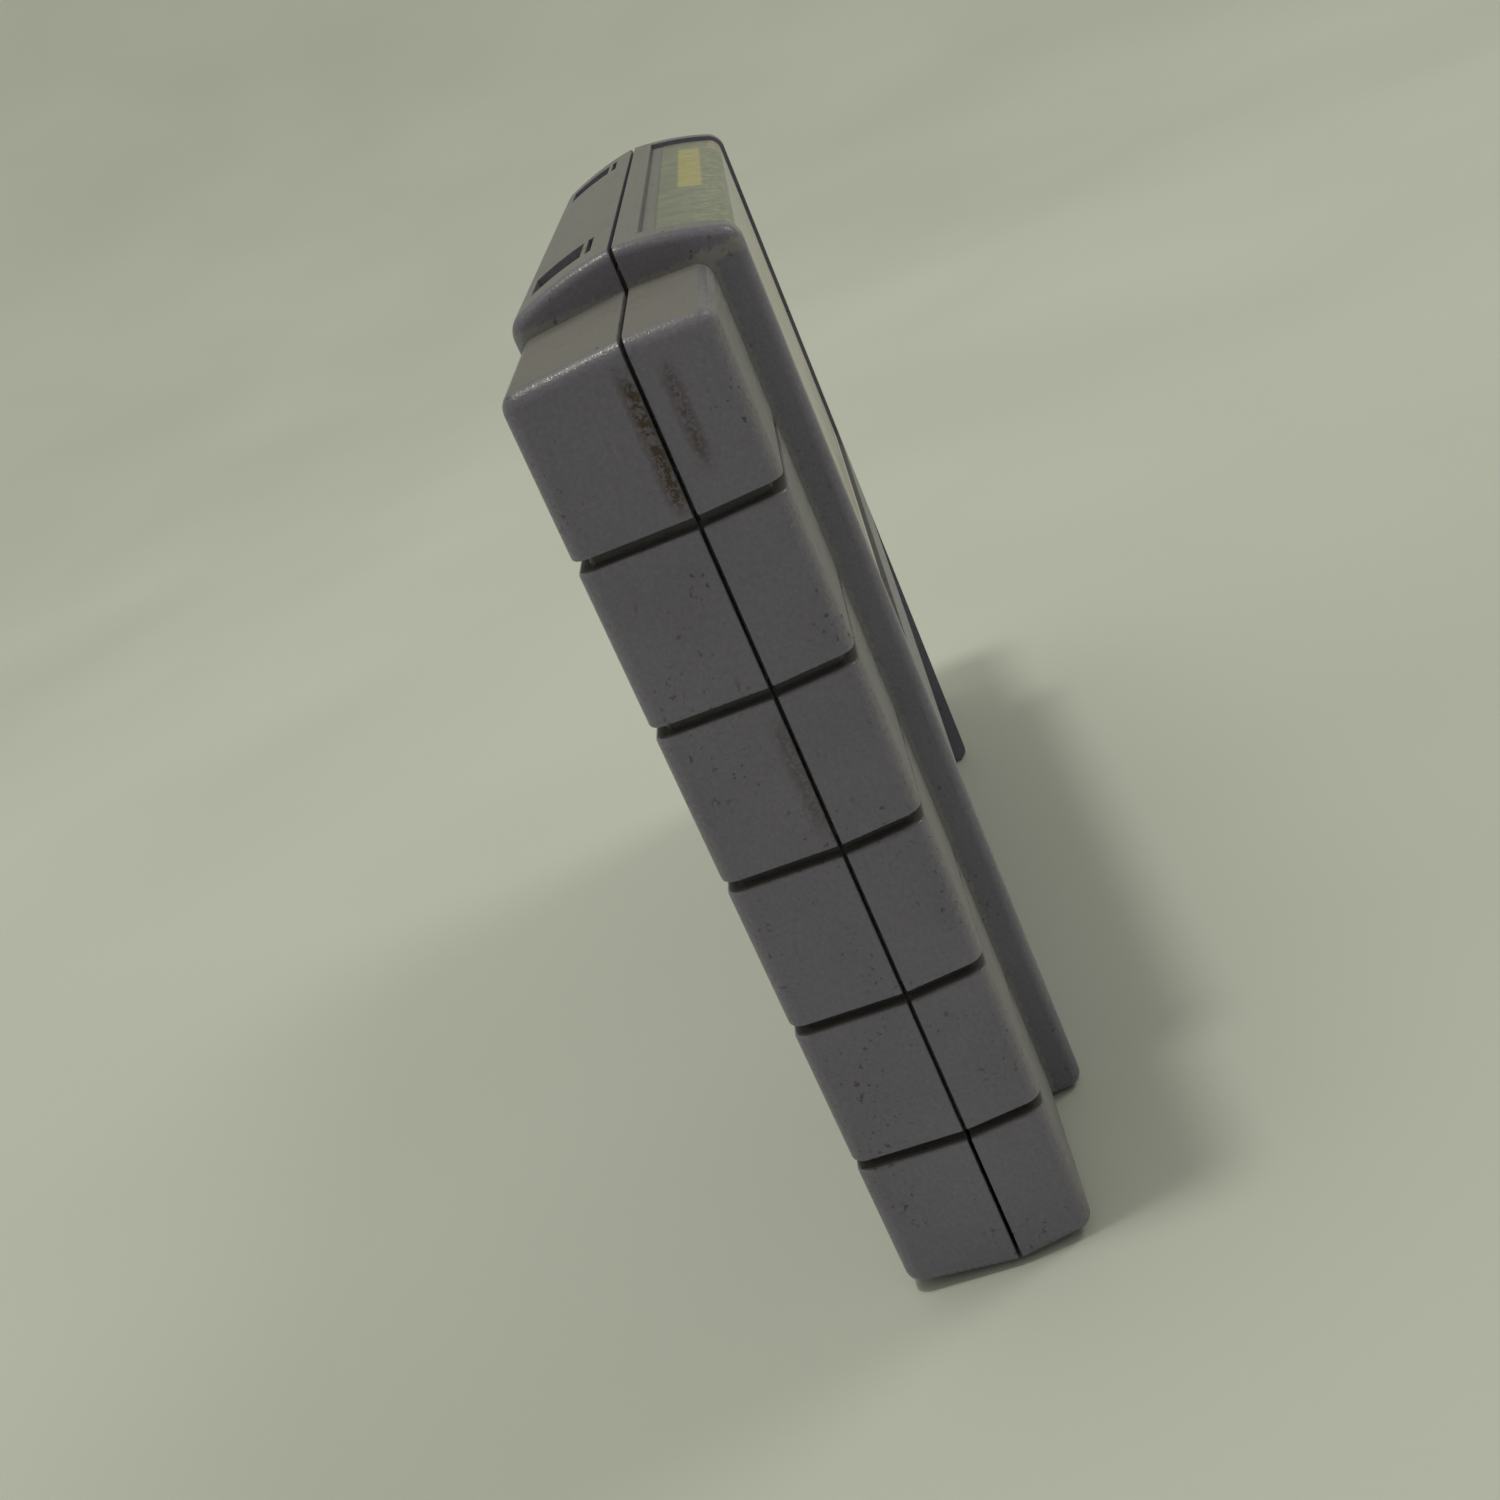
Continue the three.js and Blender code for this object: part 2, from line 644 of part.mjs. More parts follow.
function circuitBoard() {
  const half = boardWidth / 2;
  const tongueHalf = tongueWidth / 2;
  const outline = polygon([
    [-tongueHalf, tongueBottom + tongueChamfer], [-tongueHalf + 1, tongueBottom],
    [tongueHalf - 1, tongueBottom], [tongueHalf, tongueBottom + tongueChamfer],
    [tongueHalf, boardBottom], [half, boardBottom], [half, boardTop],
    [-half, boardTop], [-half, boardBottom], [-tongueHalf, boardBottom],
  ]);
  const holes = [-locatorX, locatorX].map((x) => (
    barY(x, locatorZ, locatorRadius + touch, boardFront - 1, boardRear + 1)
  ));
  const edge = boardThickness / 2;
  const bevel = [-1, 1].map((s) => {
    const face = boardMiddleY + s * edge;
    const cut = polygon([
      [face - s * tongueChamfer, tongueBottom - 0.1], [face + s, tongueBottom - 0.1],
      [face + s, tongueBottom + 1], [face, tongueBottom + 1],
    ]);
    return alongX(cut, -tongueHalf - 1, tongueHalf + 1);
  });
  return cutAll(alongY(outline, boardFront, boardRear), ...holes, ...bevel);
}

// A chip with bent legs on two sides. It lies on the board's front, its long side across X.
function chip(x, z, { length, width, height, legs, pitch }) {
  const back = partFace - chipStandoff;
  const outline = roundedRectangle(x - length / 2, x + length / 2, z - width / 2, z + width / 2, chipCorner);
  const body = alongY(outline, back - height, back, chipEdge, 1);
  const halfLeg = Math.min(legWidth, pitch * legShare) / 2;
  const legY = back - height / 2;
  const legParts = [];
  for (const side of [-1, 1]) {
    const root = z + side * (width / 2 - legThickness);
    const tip = z + side * (width / 2 + legReach);
    const bend = tip - side * legThickness;
    for (let i = 0; i < legs / 2; i++) {
      const legX = x + (i - (legs / 2 - 1) / 2) * pitch;
      const x0 = legX - halfLeg;
      const x1 = legX + halfLeg;
      legParts.push(box(x0, x1, legY - legThickness / 2, legY + legThickness / 2,
        Math.min(root, tip), Math.max(root, tip)));
      legParts.push(box(x0, x1, legY, partFace, Math.min(bend, tip), Math.max(bend, tip)));
    }
  }
  const dimpleX = x - length / 2 + dimpleInset;
  const dimple = barY(dimpleX, z, dimpleRadius, back - height - 1, back - height + dimpleDepth, 12);
  return addAll(body, ...legParts).subtract(dimple);
}

// A part with a wire at each end, lying along X, its wires bent down to the board.
function axialPart(x, z, { length, radius, waist = 0 }) {
  const half = length / 2;
  const reach = half + wireReach;
  const y = partFace - radius - smallPartRise;
  const shoulder = radius * 0.4;
  const neck = half - shoulder * 3;
  const profile = [
    [0, -reach], [wireRadius, -reach], [wireRadius, -half], [radius * 0.8, -half], [radius, -half + shoulder],
    ...(waist > 0 ? [[radius - waist, -neck], [radius - waist, neck]] : []),
    [radius, half - shoulder], [radius * 0.8, half], [wireRadius, half], [wireRadius, reach], [0, reach],
  ];
  const geometry = spin(profile, 10);
  geometry.rotateZ(-Math.PI / 2);
  geometry.translate(x, y, z);
  const ends = [-1, 1].map((s) => barY(x + s * (reach - wireRadius), z, wireRadius, y, partFace, 6));
  return addAll(toSolid(geometry), ...ends);
}

function coinCell() {
  const lidRadius = cellRadius - cellLidInset;
  const lidStep = cellBack - cellRim;
  const geometry = spin([
    [0, cellFront], [cellRadius - cellRim, cellFront], [cellRadius, cellFront + cellRim],
    [cellRadius, lidStep - cellRim], [cellRadius - cellRim, lidStep], [lidRadius, lidStep],
    [lidRadius - cellRim / 2, cellBack], [0, cellBack],
  ], 30);
  geometry.translate(cellX, 0, cellZ);
  return toSolid(geometry);
}

// Tab over the cell's front face that comes down to the board beside the cell.
function positiveTab() {
  const front = cellFront - touch - tabThickness;
  const outer = cellX + cellRadius + tabReach;
  const z0 = cellZ - tabWidth / 2;
  const z1 = cellZ + tabWidth / 2;
  const flat = box(cellX - tabOverlap, outer, front, front + tabThickness, z0, z1);
  const leg = box(outer - tabThickness, outer, front, partFace, z0, z1);
  return flat.add(leg);
}

// Tab between the cell and the board.
function negativeTab() {
  const outer = cellX - cellRadius - tabReach;
  const z0 = cellZ - tabWidth / 2;
  return box(outer, cellX + tabOverlap, partFace - tabThickness, partFace, z0, z0 + tabWidth);
}

// A can with two wires at one end, lying along X.
function filterCapacitor(x, z) {
  const radius = capacitorRadius;
  const start = x - capacitorLength / 2;
  const y = partFace - radius - smallPartRise;
  const crimp = canCrimp;
  const geometry = spin([
    [0, 0], [radius - crimp, 0], [radius, crimp], [radius, crimp * 3], [radius - crimp, crimp * 4],
    [radius, crimp * 5], [radius, capacitorLength - crimp],
    [radius - crimp, capacitorLength], [0, capacitorLength],
  ], 16);
  geometry.rotateZ(-Math.PI / 2);
  geometry.translate(start, y, z);
  const wires = [-1, 1].flatMap((s) => {
    const wireZ = z + s * capacitorRadius / 2;
    const end = start - wireReach;
    return [
      box(end, start + wireRadius, y - wireRadius, y + wireRadius, wireZ - wireRadius, wireZ + wireRadius),
      box(end, end + 2 * wireRadius, y, partFace, wireZ - wireRadius, wireZ + wireRadius),
    ];
  });
  return addAll(toSolid(geometry), ...wires);
}

// ---------------------------------------------------------------- assembly

const finishes = {
  casePlastic: { color: '#6f6d73', roughness: 0.62, metalness: 0 },
  labelPaper: { color: '#c9c3bb', roughness: 0.5, metalness: 0 },
  plainPaper: { color: '#a9a8a6', roughness: 0.55, metalness: 0 },
  screwSteel: { color: '#b9babd', roughness: 0.35, metalness: 1 },
  boardLaminate: { color: '#2f6b3c', roughness: 0.45, metalness: 0 },
  chipEpoxy: { color: '#232326', roughness: 0.6, metalness: 0 },
  cellSteel: { color: '#c4c5c6', roughness: 0.25, metalness: 1 },
  tabNickel: { color: '#b7b3a8', roughness: 0.35, metalness: 1 },
  capacitorSleeve: { color: '#27345c', roughness: 0.4, metalness: 0 },
  ceramicBody: { color: '#c99a3a', roughness: 0.5, metalness: 0 },
  resistorBody: { color: '#cdb68c', roughness: 0.5, metalness: 0 },
  diodeGlass: { color: '#b4532c', roughness: 0.2, metalness: 0 },
};

const group = new THREE.Group();

function place(name, solid, finish) {
  const mesh = new THREE.Mesh(toGeometry(solid), new THREE.MeshStandardMaterial(finishes[finish]));
  mesh.name = name;
  group.add(mesh);
}

place('front_shell', frontShell(), 'casePlastic');
place('rear_shell', rearShell(), 'casePlastic');
place('front_label', frontLabel(), 'labelPaper');
place('rear_label', rearLabel(), 'plainPaper');
place('security_screw_left', screw(-screwX), 'screwSteel');
place('security_screw_right', screw(screwX), 'screwSteel');
place('circuit_board', circuitBoard(), 'boardLaminate');

place('program_rom_chip', chip(romX, romZ, romChip), 'chipEpoxy');
place('save_ram_chip', chip(ramX, ramZ, ramChip), 'chipEpoxy');
place('lockout_chip', chip(cellX, lockoutZ, lockoutChip), 'chipEpoxy');
place('address_decoder_chip', chip(decoderX, decoderZ, decoderChip), 'chipEpoxy');

place('save_battery', coinCell(), 'cellSteel');
place('battery_tab_positive', positiveTab(), 'tabNickel');
place('battery_tab_negative', negativeTab(), 'tabNickel');
place('filter_capacitor', filterCapacitor(smallColumns[1], smallPartZ[2]), 'capacitorSleeve');

const ceramicPlaces = [
  [-sidePartX, sidePartZ[0]],
  [-sidePartX, sidePartZ[1]],
  [sidePartX, sidePartZ[0]],
  [smallColumns[0], smallPartZ[2]],
];
ceramicPlaces.forEach(([x, z], i) => {
  place(`ceramic_capacitor_${i + 1}`, axialPart(x, z, ceramicSize), 'ceramicBody');
});
const resistorPlaces = [
  [smallColumns[0], smallPartZ[0]], [smallColumns[1], smallPartZ[0]], [smallColumns[0], smallPartZ[1]],
];
resistorPlaces.forEach(([x, z], i) => {
  place(`resistor_${i + 1}`, axialPart(x, z, resistorSize), 'resistorBody');
});
const diodePlaces = [[smallColumns[1], smallPartZ[1]], [smallColumns[0], decoderZ]];
diodePlaces.forEach(([x, z], i) => {
  place(`diode_${i + 1}`, axialPart(x, z, diodeSize), 'diodeGlass');
});

export default group;
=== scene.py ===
"""A grey game cartridge with ribbed side wings: case halves, labels, screws and circuit board.

Sizes are in millimetres while a piece is shaped, and its mesh is brought to metres at the end.
+X runs across the width, -Y is the label side, +Z is up, and the connector edge stands on Z = 0.
"""

import math

import bmesh
import bpy
from bpy.props import FloatProperty, FloatVectorProperty, IntProperty, PointerProperty, StringProperty
from mathutils import Matrix, Vector


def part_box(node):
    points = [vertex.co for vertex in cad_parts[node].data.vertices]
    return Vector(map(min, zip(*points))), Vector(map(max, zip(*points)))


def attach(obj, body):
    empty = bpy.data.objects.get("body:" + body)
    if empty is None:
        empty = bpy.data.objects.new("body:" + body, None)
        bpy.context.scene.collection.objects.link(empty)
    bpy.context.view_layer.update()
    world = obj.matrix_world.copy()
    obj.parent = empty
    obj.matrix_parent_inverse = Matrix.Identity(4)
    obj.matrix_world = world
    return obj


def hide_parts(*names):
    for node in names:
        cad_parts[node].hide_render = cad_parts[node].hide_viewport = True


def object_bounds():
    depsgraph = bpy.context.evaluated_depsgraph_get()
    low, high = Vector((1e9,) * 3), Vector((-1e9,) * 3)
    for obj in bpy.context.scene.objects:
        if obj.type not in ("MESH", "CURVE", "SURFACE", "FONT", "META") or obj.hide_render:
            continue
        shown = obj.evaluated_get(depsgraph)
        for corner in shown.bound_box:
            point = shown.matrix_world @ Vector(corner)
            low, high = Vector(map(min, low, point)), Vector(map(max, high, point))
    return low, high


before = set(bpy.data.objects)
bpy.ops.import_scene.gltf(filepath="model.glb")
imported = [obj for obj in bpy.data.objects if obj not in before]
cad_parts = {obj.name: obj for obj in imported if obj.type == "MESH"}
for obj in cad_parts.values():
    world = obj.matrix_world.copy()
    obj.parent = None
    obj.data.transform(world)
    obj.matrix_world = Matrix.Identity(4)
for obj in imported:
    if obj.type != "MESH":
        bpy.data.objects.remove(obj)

bl_info = {
    "name": "Game Cartridge Maker",
    "version": (1, 0, 0),
    "blender": (4, 5, 0),
    "location": "View3D > Sidebar > Cartridge",
    "description": "Builds a two-part game cartridge with ribbed wings, labels, screws and circuit board",
    "category": "Add Mesh",
}

BODY = "root"
MM = 0.001
CAD_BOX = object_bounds()
HALF_WIDTH = 68.0
CASE_HEIGHT = CAD_BOX[1].z / MM
CASE_DEPTH = CAD_BOX[1].y / MM
FRONT, REAR = -1, 1

SCREW_LOW, SCREW_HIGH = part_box("security_screw_right")
SCREW_X = (SCREW_LOW.x + SCREW_HIGH.x) / 2 / MM
SCREW_Z = (SCREW_LOW.z + SCREW_HIGH.z) / 2 / MM
BOARD_LOW, BOARD_HIGH = (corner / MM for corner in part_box("circuit_board"))
BACK_LABEL_LOW, BACK_LABEL_HIGH = (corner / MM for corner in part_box("rear_label"))

# Fixed features, in millimetres: they fit the console's slot, the board or the other half.
WING_OVERLAP = 1.6
BOTTOM_RADIUS = 1.4
CEILING_DROP = 0.6
MOUTH_CEILING = 10.0
MOUTH_SECTIONS = ((-30, 30), (32, 42), (-42, -32))
MOUTH_FRONT, MOUTH_REAR = -4.2, 6.2
HOOK_PLACES = (-34.5, 34.5)
HOOK_HALF = 4.5
NOTCH_PLACES = (-35, 35)
NOTCH_HALF, NOTCH_HEIGHT, NOTCH_DEPTH = 4.0, 9.5, 2.0
POST_PLACES = (-40, 40)
PEG_PLACES = (-44, 44)
PEG_Z = 69
SCREW_HOLE, SHANK_HOLE = 3.4, 1.75
LABEL_RECESS_BACK, LABEL_MARGIN, LABEL_CORNER = 0.7, 1.2, 2.0
SLOPE_TOP, SLOPE_DEPTH, SLOPE_RIM = 36.0, 1.9, 3.0
CONTACT_COUNT, CONTACT_PITCH, CONTACT_HALF, CONTACT_TOP = 23, 2.5, 0.8, 16.5


# ------------------------------------------------------------------ settings

def length(name, text, millimetres):
    return FloatProperty(name=name, description=text, default=millimetres * MM,
                         min=0.0, subtype="DISTANCE", unit="LENGTH", precision=5)


def angle(name, text, degrees):
    return FloatProperty(name=name, description=text, default=math.radians(degrees),
                         subtype="ANGLE", unit="ROTATION")


def tint(name, text, hex_value):
    return StringProperty(name=name, description=text, default=hex_value)


class CartridgeCaseSettings(bpy.types.PropertyGroup):
    """Sizes of the two moulded case halves."""

    centre_width: length("Middle width", "Width of the raised middle", 90.6)
    wing_drop: length("Wing drop", "Wing tops below the top of the middle", 3.4)
    wing_front_step: length("Wing front step", "Wing fronts behind the front panel", 3.1)
    wing_rear_step: length("Wing rear step", "Wing backs in front of the back panel", 0.2)
    side_draft: angle("Side draft", "Lean of the sides away from the parting line", 6.0)
    end_draft: angle("End draft", "Lean of the tops and wing bottoms", 4.0)
    wall: length("Wall", "Thickness of the case walls", 2.0)
    parting_gap: length("Parting gap", "Open line between the two halves", 0.34)
    block_count: IntProperty(name="Blocks", description="Blocks in each wing", default=6, min=2, max=12)
    groove_width: length("Groove width", "Height of each groove between two blocks", 0.9)
    groove_depth: length("Groove depth", "Depth of the grooves in the wings", 1.1)
    crown_radius: length("Crown radius", "Slow rounding of the middle's top towards each face", 30.0)
    top_corner_radius: length("Top corner radius", "Rounding where the top meets the faces", 1.3)
    middle_edge_radius: length("Middle edge radius", "Rounding of the middle's side edges", 1.0)
    wing_edge_radius: length("Wing edge radius", "Rounding of the wings' outer edges", 1.35)
    rim_radius: length("Groove rim radius", "Rounding of the blocks at the grooves", 0.28)
    seam_radius: length("Seam radius", "Rounding along the parting line", 0.12)


class CartridgeLabelSettings(bpy.types.PropertyGroup):
    """Sizes and inks of the two labels."""

    recess_width: length("Recess width", "Width of the front label's recess", 82.0)
    recess_depth: length("Recess depth", "Depth of the front label's recess", 0.55)
    recess_bottom: length("Recess bottom", "Height of the recess's lower edge", 46.0)
    recess_top_edge: length("Recess top edge", "From the parting line to the recess on top", 2.25)
    margin: length("Margin", "From each label's edge to its recess", 1.2)
    thickness: length("Thickness", "Thickness of the front label", 0.14)
    corner: length("Corner radius", "Rounding of the label's corners", 2.0)
    sky: tint("Picture top", "Upper colour of the picture", "#c0bab5")
    hill: tint("Picture bottom", "Lower colour of the picture", "#a4938f")
    spine: tint("Top strip", "Colour of the strip that folds over the top", "#717264")
    bar: tint("Top bar", "Colour of the bar on the top strip", "#b0a256")
    corner_ink: tint("Corner patch", "Colour of the patch in the top strip's corner", "#a2857e")


class CartridgeFinishSettings(bpy.types.PropertyGroup):
    """Colours of the case plastic and what has settled on it."""

    plastic: tint("Plastic", "Moulded grey of the case", "#7b7688")
    dust: tint("Dust", "Film that has settled on upper faces", "#8c8780")
    lint: tint("Lint", "Thick dust beside the middle and down the fronts of the wings", "#989694")
    grime: tint("Grime", "Brown deposit beside the parting line", "#3f2d20")
    grit: FloatProperty(name="Grit", description="Size of the moulded texture's grains",
                        default=0.00022, subtype="DISTANCE", unit="LENGTH", precision=5)


class CartridgeStageSettings(bpy.types.PropertyGroup):
    """Floor, light and camera."""

    floor: tint("Floor", "Colour of the pale floor", "#dcdcda")
    lens: FloatProperty(name="Lens", description="Focal length in millimetres for a 36 mm sensor",
                        default=48.82)
    shift_y: FloatProperty(name="Upward shift", description="Camera shift", default=0.1004)
    camera_place: FloatVectorProperty(name="Camera place", description="Where the camera stands",
                                      default=(-0.2110, -0.01366, 0.10394), subtype="XYZ", unit="LENGTH")
    camera_forward: FloatVectorProperty(name="Camera forward", description="Where the camera looks",
                                        default=(0.90605, 0.13810, -0.40001), subtype="DIRECTION")
    camera_up: FloatVectorProperty(name="Camera up", description="Which way is up in the view",
                                   default=(0.42208, -0.36279, 0.83080), subtype="DIRECTION")


def settings():
    return bpy.context.scene.cartridge_case


def labels():
    return bpy.context.scene.cartridge_labels


def finishes():
    return bpy.context.scene.cartridge_finish


def mm(value):
    """A stored length in metres, as millimetres."""
    return value / MM


# ------------------------------------------------------------------ shaping

def cube(x0, x1, y0, y1, z0, z1):
    """A box between two corners, as a bmesh."""
    bm = bmesh.new()
    bmesh.ops.create_cube(bm, size=1.0)
    bmesh.ops.scale(bm, vec=(x1 - x0, y1 - y0, z1 - z0), verts=bm.verts)
    bmesh.ops.translate(bm, vec=((x0 + x1) / 2, (y0 + y1) / 2, (z0 + z1) / 2), verts=bm.verts)
    return bm


def rod(x, z, radius, y0, y1, sides=40):
    """A round bar along Y, as a bmesh."""
    bm = bmesh.new()
    bmesh.ops.create_cone(bm, cap_ends=True, segments=sides, radius1=radius, radius2=radius, depth=y1 - y0)
    turn = Matrix.Rotation(math.radians(90), 3, "X")
    bmesh.ops.rotate(bm, cent=(0, 0, 0), matrix=turn, verts=bm.verts)
    bmesh.ops.translate(bm, vec=(x, (y0 + y1) / 2, z), verts=bm.verts)
    return bm


def round_edges(bm, edges, radius, segments):
    """Rounds the given edges."""
    bmesh.ops.bevel(bm, geom=edges, offset=radius, offset_type="OFFSET", segments=segments,
                    profile=0.5, affect="EDGES", clamp_overlap=True, material=-1)


def edges_where(bm, test):
    """Edges both of whose ends pass a test of their place."""
    return [e for e in bm.edges if all(test(v.co) for v in e.verts)]


def near(a, b, slack=0.02):
    return abs(a - b) < slack


def along_depth(bm, test=lambda p: True):
    """Edges that run straight from front to back and pass a test of their place."""
    return [e for e in edges_where(bm, test) if near(e.verts[0].co.x, e.verts[1].co.x)
            and near(e.verts[0].co.z, e.verts[1].co.z)]


def spun(points, x, z, steps=48):
    """A profile of [radius, y] spun round an axis along Y through x and z."""
    bm = bmesh.new()
    verts = [bm.verts.new((r, y, 0)) for r, y in points]
    edges = [bm.edges.new(pair) for pair in zip(verts, verts[1:])]
    bmesh.ops.spin(bm, geom=verts + edges, cent=(0, 0, 0), axis=(0, 1, 0), angle=math.tau,
                   steps=steps, use_merge=True)
    bmesh.ops.remove_doubles(bm, verts=bm.verts, dist=0.001)
    bmesh.ops.recalc_face_normals(bm, faces=bm.faces)
    bmesh.ops.translate(bm, vec=(x, 0, z), verts=bm.verts)
    return bm


def as_object(name, bm):
    """Moves a bmesh into a new object."""
    mesh = bpy.data.meshes.new(name)
    bm.to_mesh(mesh)
    bm.free()
    made = bpy.data.objects.new(name, mesh)
    bpy.context.scene.collection.objects.link(made)
    return made


def carve(base, steps):
    """Joins, cuts or intersects solids in order: steps holds (operation, bmesh) pairs."""
    work = as_object("work", base)
    for operation, tool_bm in steps:
        tool = as_object("tool", tool_bm)
        boolean = work.modifiers.new("carve", "BOOLEAN")
        boolean.operation = operation
        boolean.solver = "MANIFOLD"
        boolean.object = tool
        depsgraph = bpy.context.evaluated_depsgraph_get()
        mesh = bpy.data.meshes.new_from_object(work.evaluated_get(depsgraph))
        before = work.data
        work.modifiers.clear()
        work.data = mesh
        bpy.data.meshes.remove(before)
        tool_mesh = tool.data
        bpy.data.objects.remove(tool)
        bpy.data.meshes.remove(tool_mesh)
    if not work.data.polygons:
        raise RuntimeError("a solid came out empty")
    bm = bmesh.new()
    bm.from_mesh(work.data)
    mesh = work.data
    bpy.data.objects.remove(work)
    bpy.data.meshes.remove(mesh)
    return bm


def piece(name, bm, material, stands_for=(), smooth_below=32.0):
    """Finishes a piece: brings it to metres, shades it, and ties it to the frame."""
    bmesh.ops.remove_doubles(bm, verts=bm.verts, dist=0.0005)
    bmesh.ops.dissolve_degenerate(bm, edges=bm.edges, dist=0.0005)
    bmesh.ops.scale(bm, vec=(MM, MM, MM), verts=bm.verts)
    made = as_object(name, bm)
    made.data.materials.clear()
    made.data.materials.append(material)
    made.data.shade_smooth()
    made.data.set_sharp_from_angle(angle=math.radians(smooth_below))
    weighted = made.modifiers.new("weighted_normals", "WEIGHTED_NORMAL")
    weighted.keep_sharp = True
    weighted.weight = 90
    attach(made, BODY)
    if stands_for:
        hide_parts(*stands_for)
    return made


# ------------------------------------------------------------------ case forms

def lean(bm, ends):
    """Draft: walls lean in as they leave the parting line. ends says which heights lean too."""
    case = settings()
    side_slope, end_slope = math.tan(case.side_draft), math.tan(case.end_draft)
    centre = CASE_HEIGHT / 2
    for v in bm.verts:
        away = abs(v.co.y)
        v.co.x *= 1 - side_slope * away / HALF_WIDTH
        if ends(v.co.z):
            v.co.z -= end_slope * away * (v.co.z - centre) / centre


def depth_range(side, depth):
    """From the parting line to a depth on one side."""
    start = mm(settings().parting_gap) / 2
    return (-depth, -start) if side == FRONT else (start, depth)


def crown_top(bm, side, depth, top, radius, corner):
    """Rounds the top slowly from the parting line to the face, in strips that stop short of the corner."""
    strips = 17
    along = [e for e in bm.edges if all(near(v.co.z, top) for v in e.verts)
             and not near(e.verts[0].co.y, e.verts[1].co.y)]
    bmesh.ops.subdivide_edges(bm, edges=along, cuts=strips - 1, use_grid_fill=True)
    upper = [v for v in bm.verts if near(v.co.z, top)]
    start = min(side * v.co.y for v in upper)
    reach = (depth - 1.5 * corner - start) / (depth - start) * strips / (strips - 1)
    for v in upper:
        out = side * v.co.y
        if not near(out, depth):
            out = start + (out - start) * reach
            v.co.y = side * out
        v.co.z -= radius - math.sqrt(radius ** 2 - max(out, 0.0) ** 2)


def middle_block(side, inset=0.0, half=None, rounded=True, overlap=0.0):
    """The raised middle of one half, or a copy set in by some depth."""
    case = settings()
    outer = half or mm(case.centre_width) / 2
    depth = CASE_DEPTH - inset
    low, high = depth_range(side, depth)
    if side == FRONT:
        high += overlap
    else:
        low -= overlap
    top = CASE_HEIGHT - inset
    bm = cube(-outer, outer, low, high, inset, top)
    crown_top(bm, side, depth, top, mm(case.crown_radius) - inset, mm(case.top_corner_radius) - inset)
    lean(bm, lambda z: z > CASE_HEIGHT / 2)
    face = side * depth
    on_face = edges_where(bm, lambda p: near(p.y, face))
    round_edges(bm, [e for e in on_face if all(v.co.z > top - 5 for v in e.verts)],
                mm(case.top_corner_radius) - inset, 10)
    on_face = edges_where(bm, lambda p: near(p.y, face))
    round_edges(bm, [e for e in on_face if all(v.co.z < inset + 0.1 for v in e.verts)], BOTTOM_RADIUS, 6)
    if rounded:
        seam = high if side == FRONT else low
        ends = [f for f in bm.faces if abs(f.normal.x) > 0.9]
        rim = {e for f in ends for e in f.edges if not all(near(v.co.y, seam) for v in e.verts)}
        round_edges(bm, list(rim), mm(case.middle_edge_radius), 5)
        seam_face = [f for f in bm.faces if near(f.calc_center_median().y, seam, 0.01)]
        round_edges(bm, list({e for f in seam_face for e in f.edges}), mm(case.seam_radius), 2)
    return bm


def wing_block(side, hand, index):
    """One block of a wing. hand is -1 left or 1 right, index counts up from the bottom."""
    case = settings()
    wing_top = CASE_HEIGHT - mm(case.wing_drop)
    pitch = wing_top / case.block_count
    half_groove = mm(case.groove_width) / 2
    last = index == case.block_count - 1
    z0 = 0.0 if index == 0 else index * pitch + half_groove
    z1 = wing_top if last else (index + 1) * pitch - half_groove
    step = mm(case.wing_front_step if side == FRONT else case.wing_rear_step)
    depth = CASE_DEPTH - step
    low, high = depth_range(side, depth)
    inner = mm(case.centre_width) / 2 - WING_OVERLAP
    bm = cube(*sorted((hand * inner, hand * HALF_WIDTH)), low, high, z0, z1)
    lean(bm, lambda z: near(z, 0.0) or near(z, wing_top))
    face, seam = side * depth, (high if side == FRONT else low)
    radius = mm(case.wing_edge_radius)

    def outer(p):
        return abs(p.x) > HALF_WIDTH - 3

    def on_top(p):
        return last and p.z > wing_top - 1.2

    def at_foot(p):
        return index == 0 and p.z < 1.2

    def wants_round(e):
        ends = [v.co for v in e.verts]
        if all(outer(p) and near(p.y, face) for p in ends):
            return True
        if all(on_top(p) for p in ends) or all(at_foot(p) for p in ends):
            return all(outer(p) for p in ends) or all(near(p.y, face) for p in ends)
        return False

    round_edges(bm, [e for e in bm.edges if wants_round(e)], radius, 6)
    for level, is_groove in ((z0, index > 0), (z1, not last)):
        if is_groove:
            rim = edges_where(bm, lambda p, level=level: near(p.z, level))
            rim = [e for e in rim if not all(near(v.co.y, seam) for v in e.verts)
                   and not all(abs(v.co.x) < inner + 0.5 for v in e.verts)]
            round_edges(bm, rim, mm(case.rim_radius), 3)
    seam_edges = edges_where(bm, lambda p: near(p.y, seam))
    seam_edges = [e for e in seam_edges if not all(abs(v.co.x) < inner + 0.5 for v in e.verts)]
    round_edges(bm, seam_edges, mm(case.seam_radius), 2)
    return bm


def wing_core(side, hand):
    """What shows at the bottom of the grooves of one wing."""
    case = settings()
    wing_top = CASE_HEIGHT - mm(case.wing_drop)
    step = mm(case.wing_front_step if side == FRONT else case.wing_rear_step)
    groove = mm(case.groove_depth)
    depth = CASE_DEPTH - step - groove
    low, high = depth_range(side, depth)
    inner = mm(case.centre_width) / 2 - WING_OVERLAP
    x0, x1 = sorted((hand * inner, hand * (HALF_WIDTH - groove)))
    bm = cube(x0, x1, low, high, groove + 1, wing_top - groove - 1)
    lean(bm, lambda z: False)
    face = side * depth
    upright = edges_where(bm, lambda p: abs(p.x) > HALF_WIDTH - 4 and near(p.y, face))
    round_edges(bm, upright, 0.6, 4)
    return bm


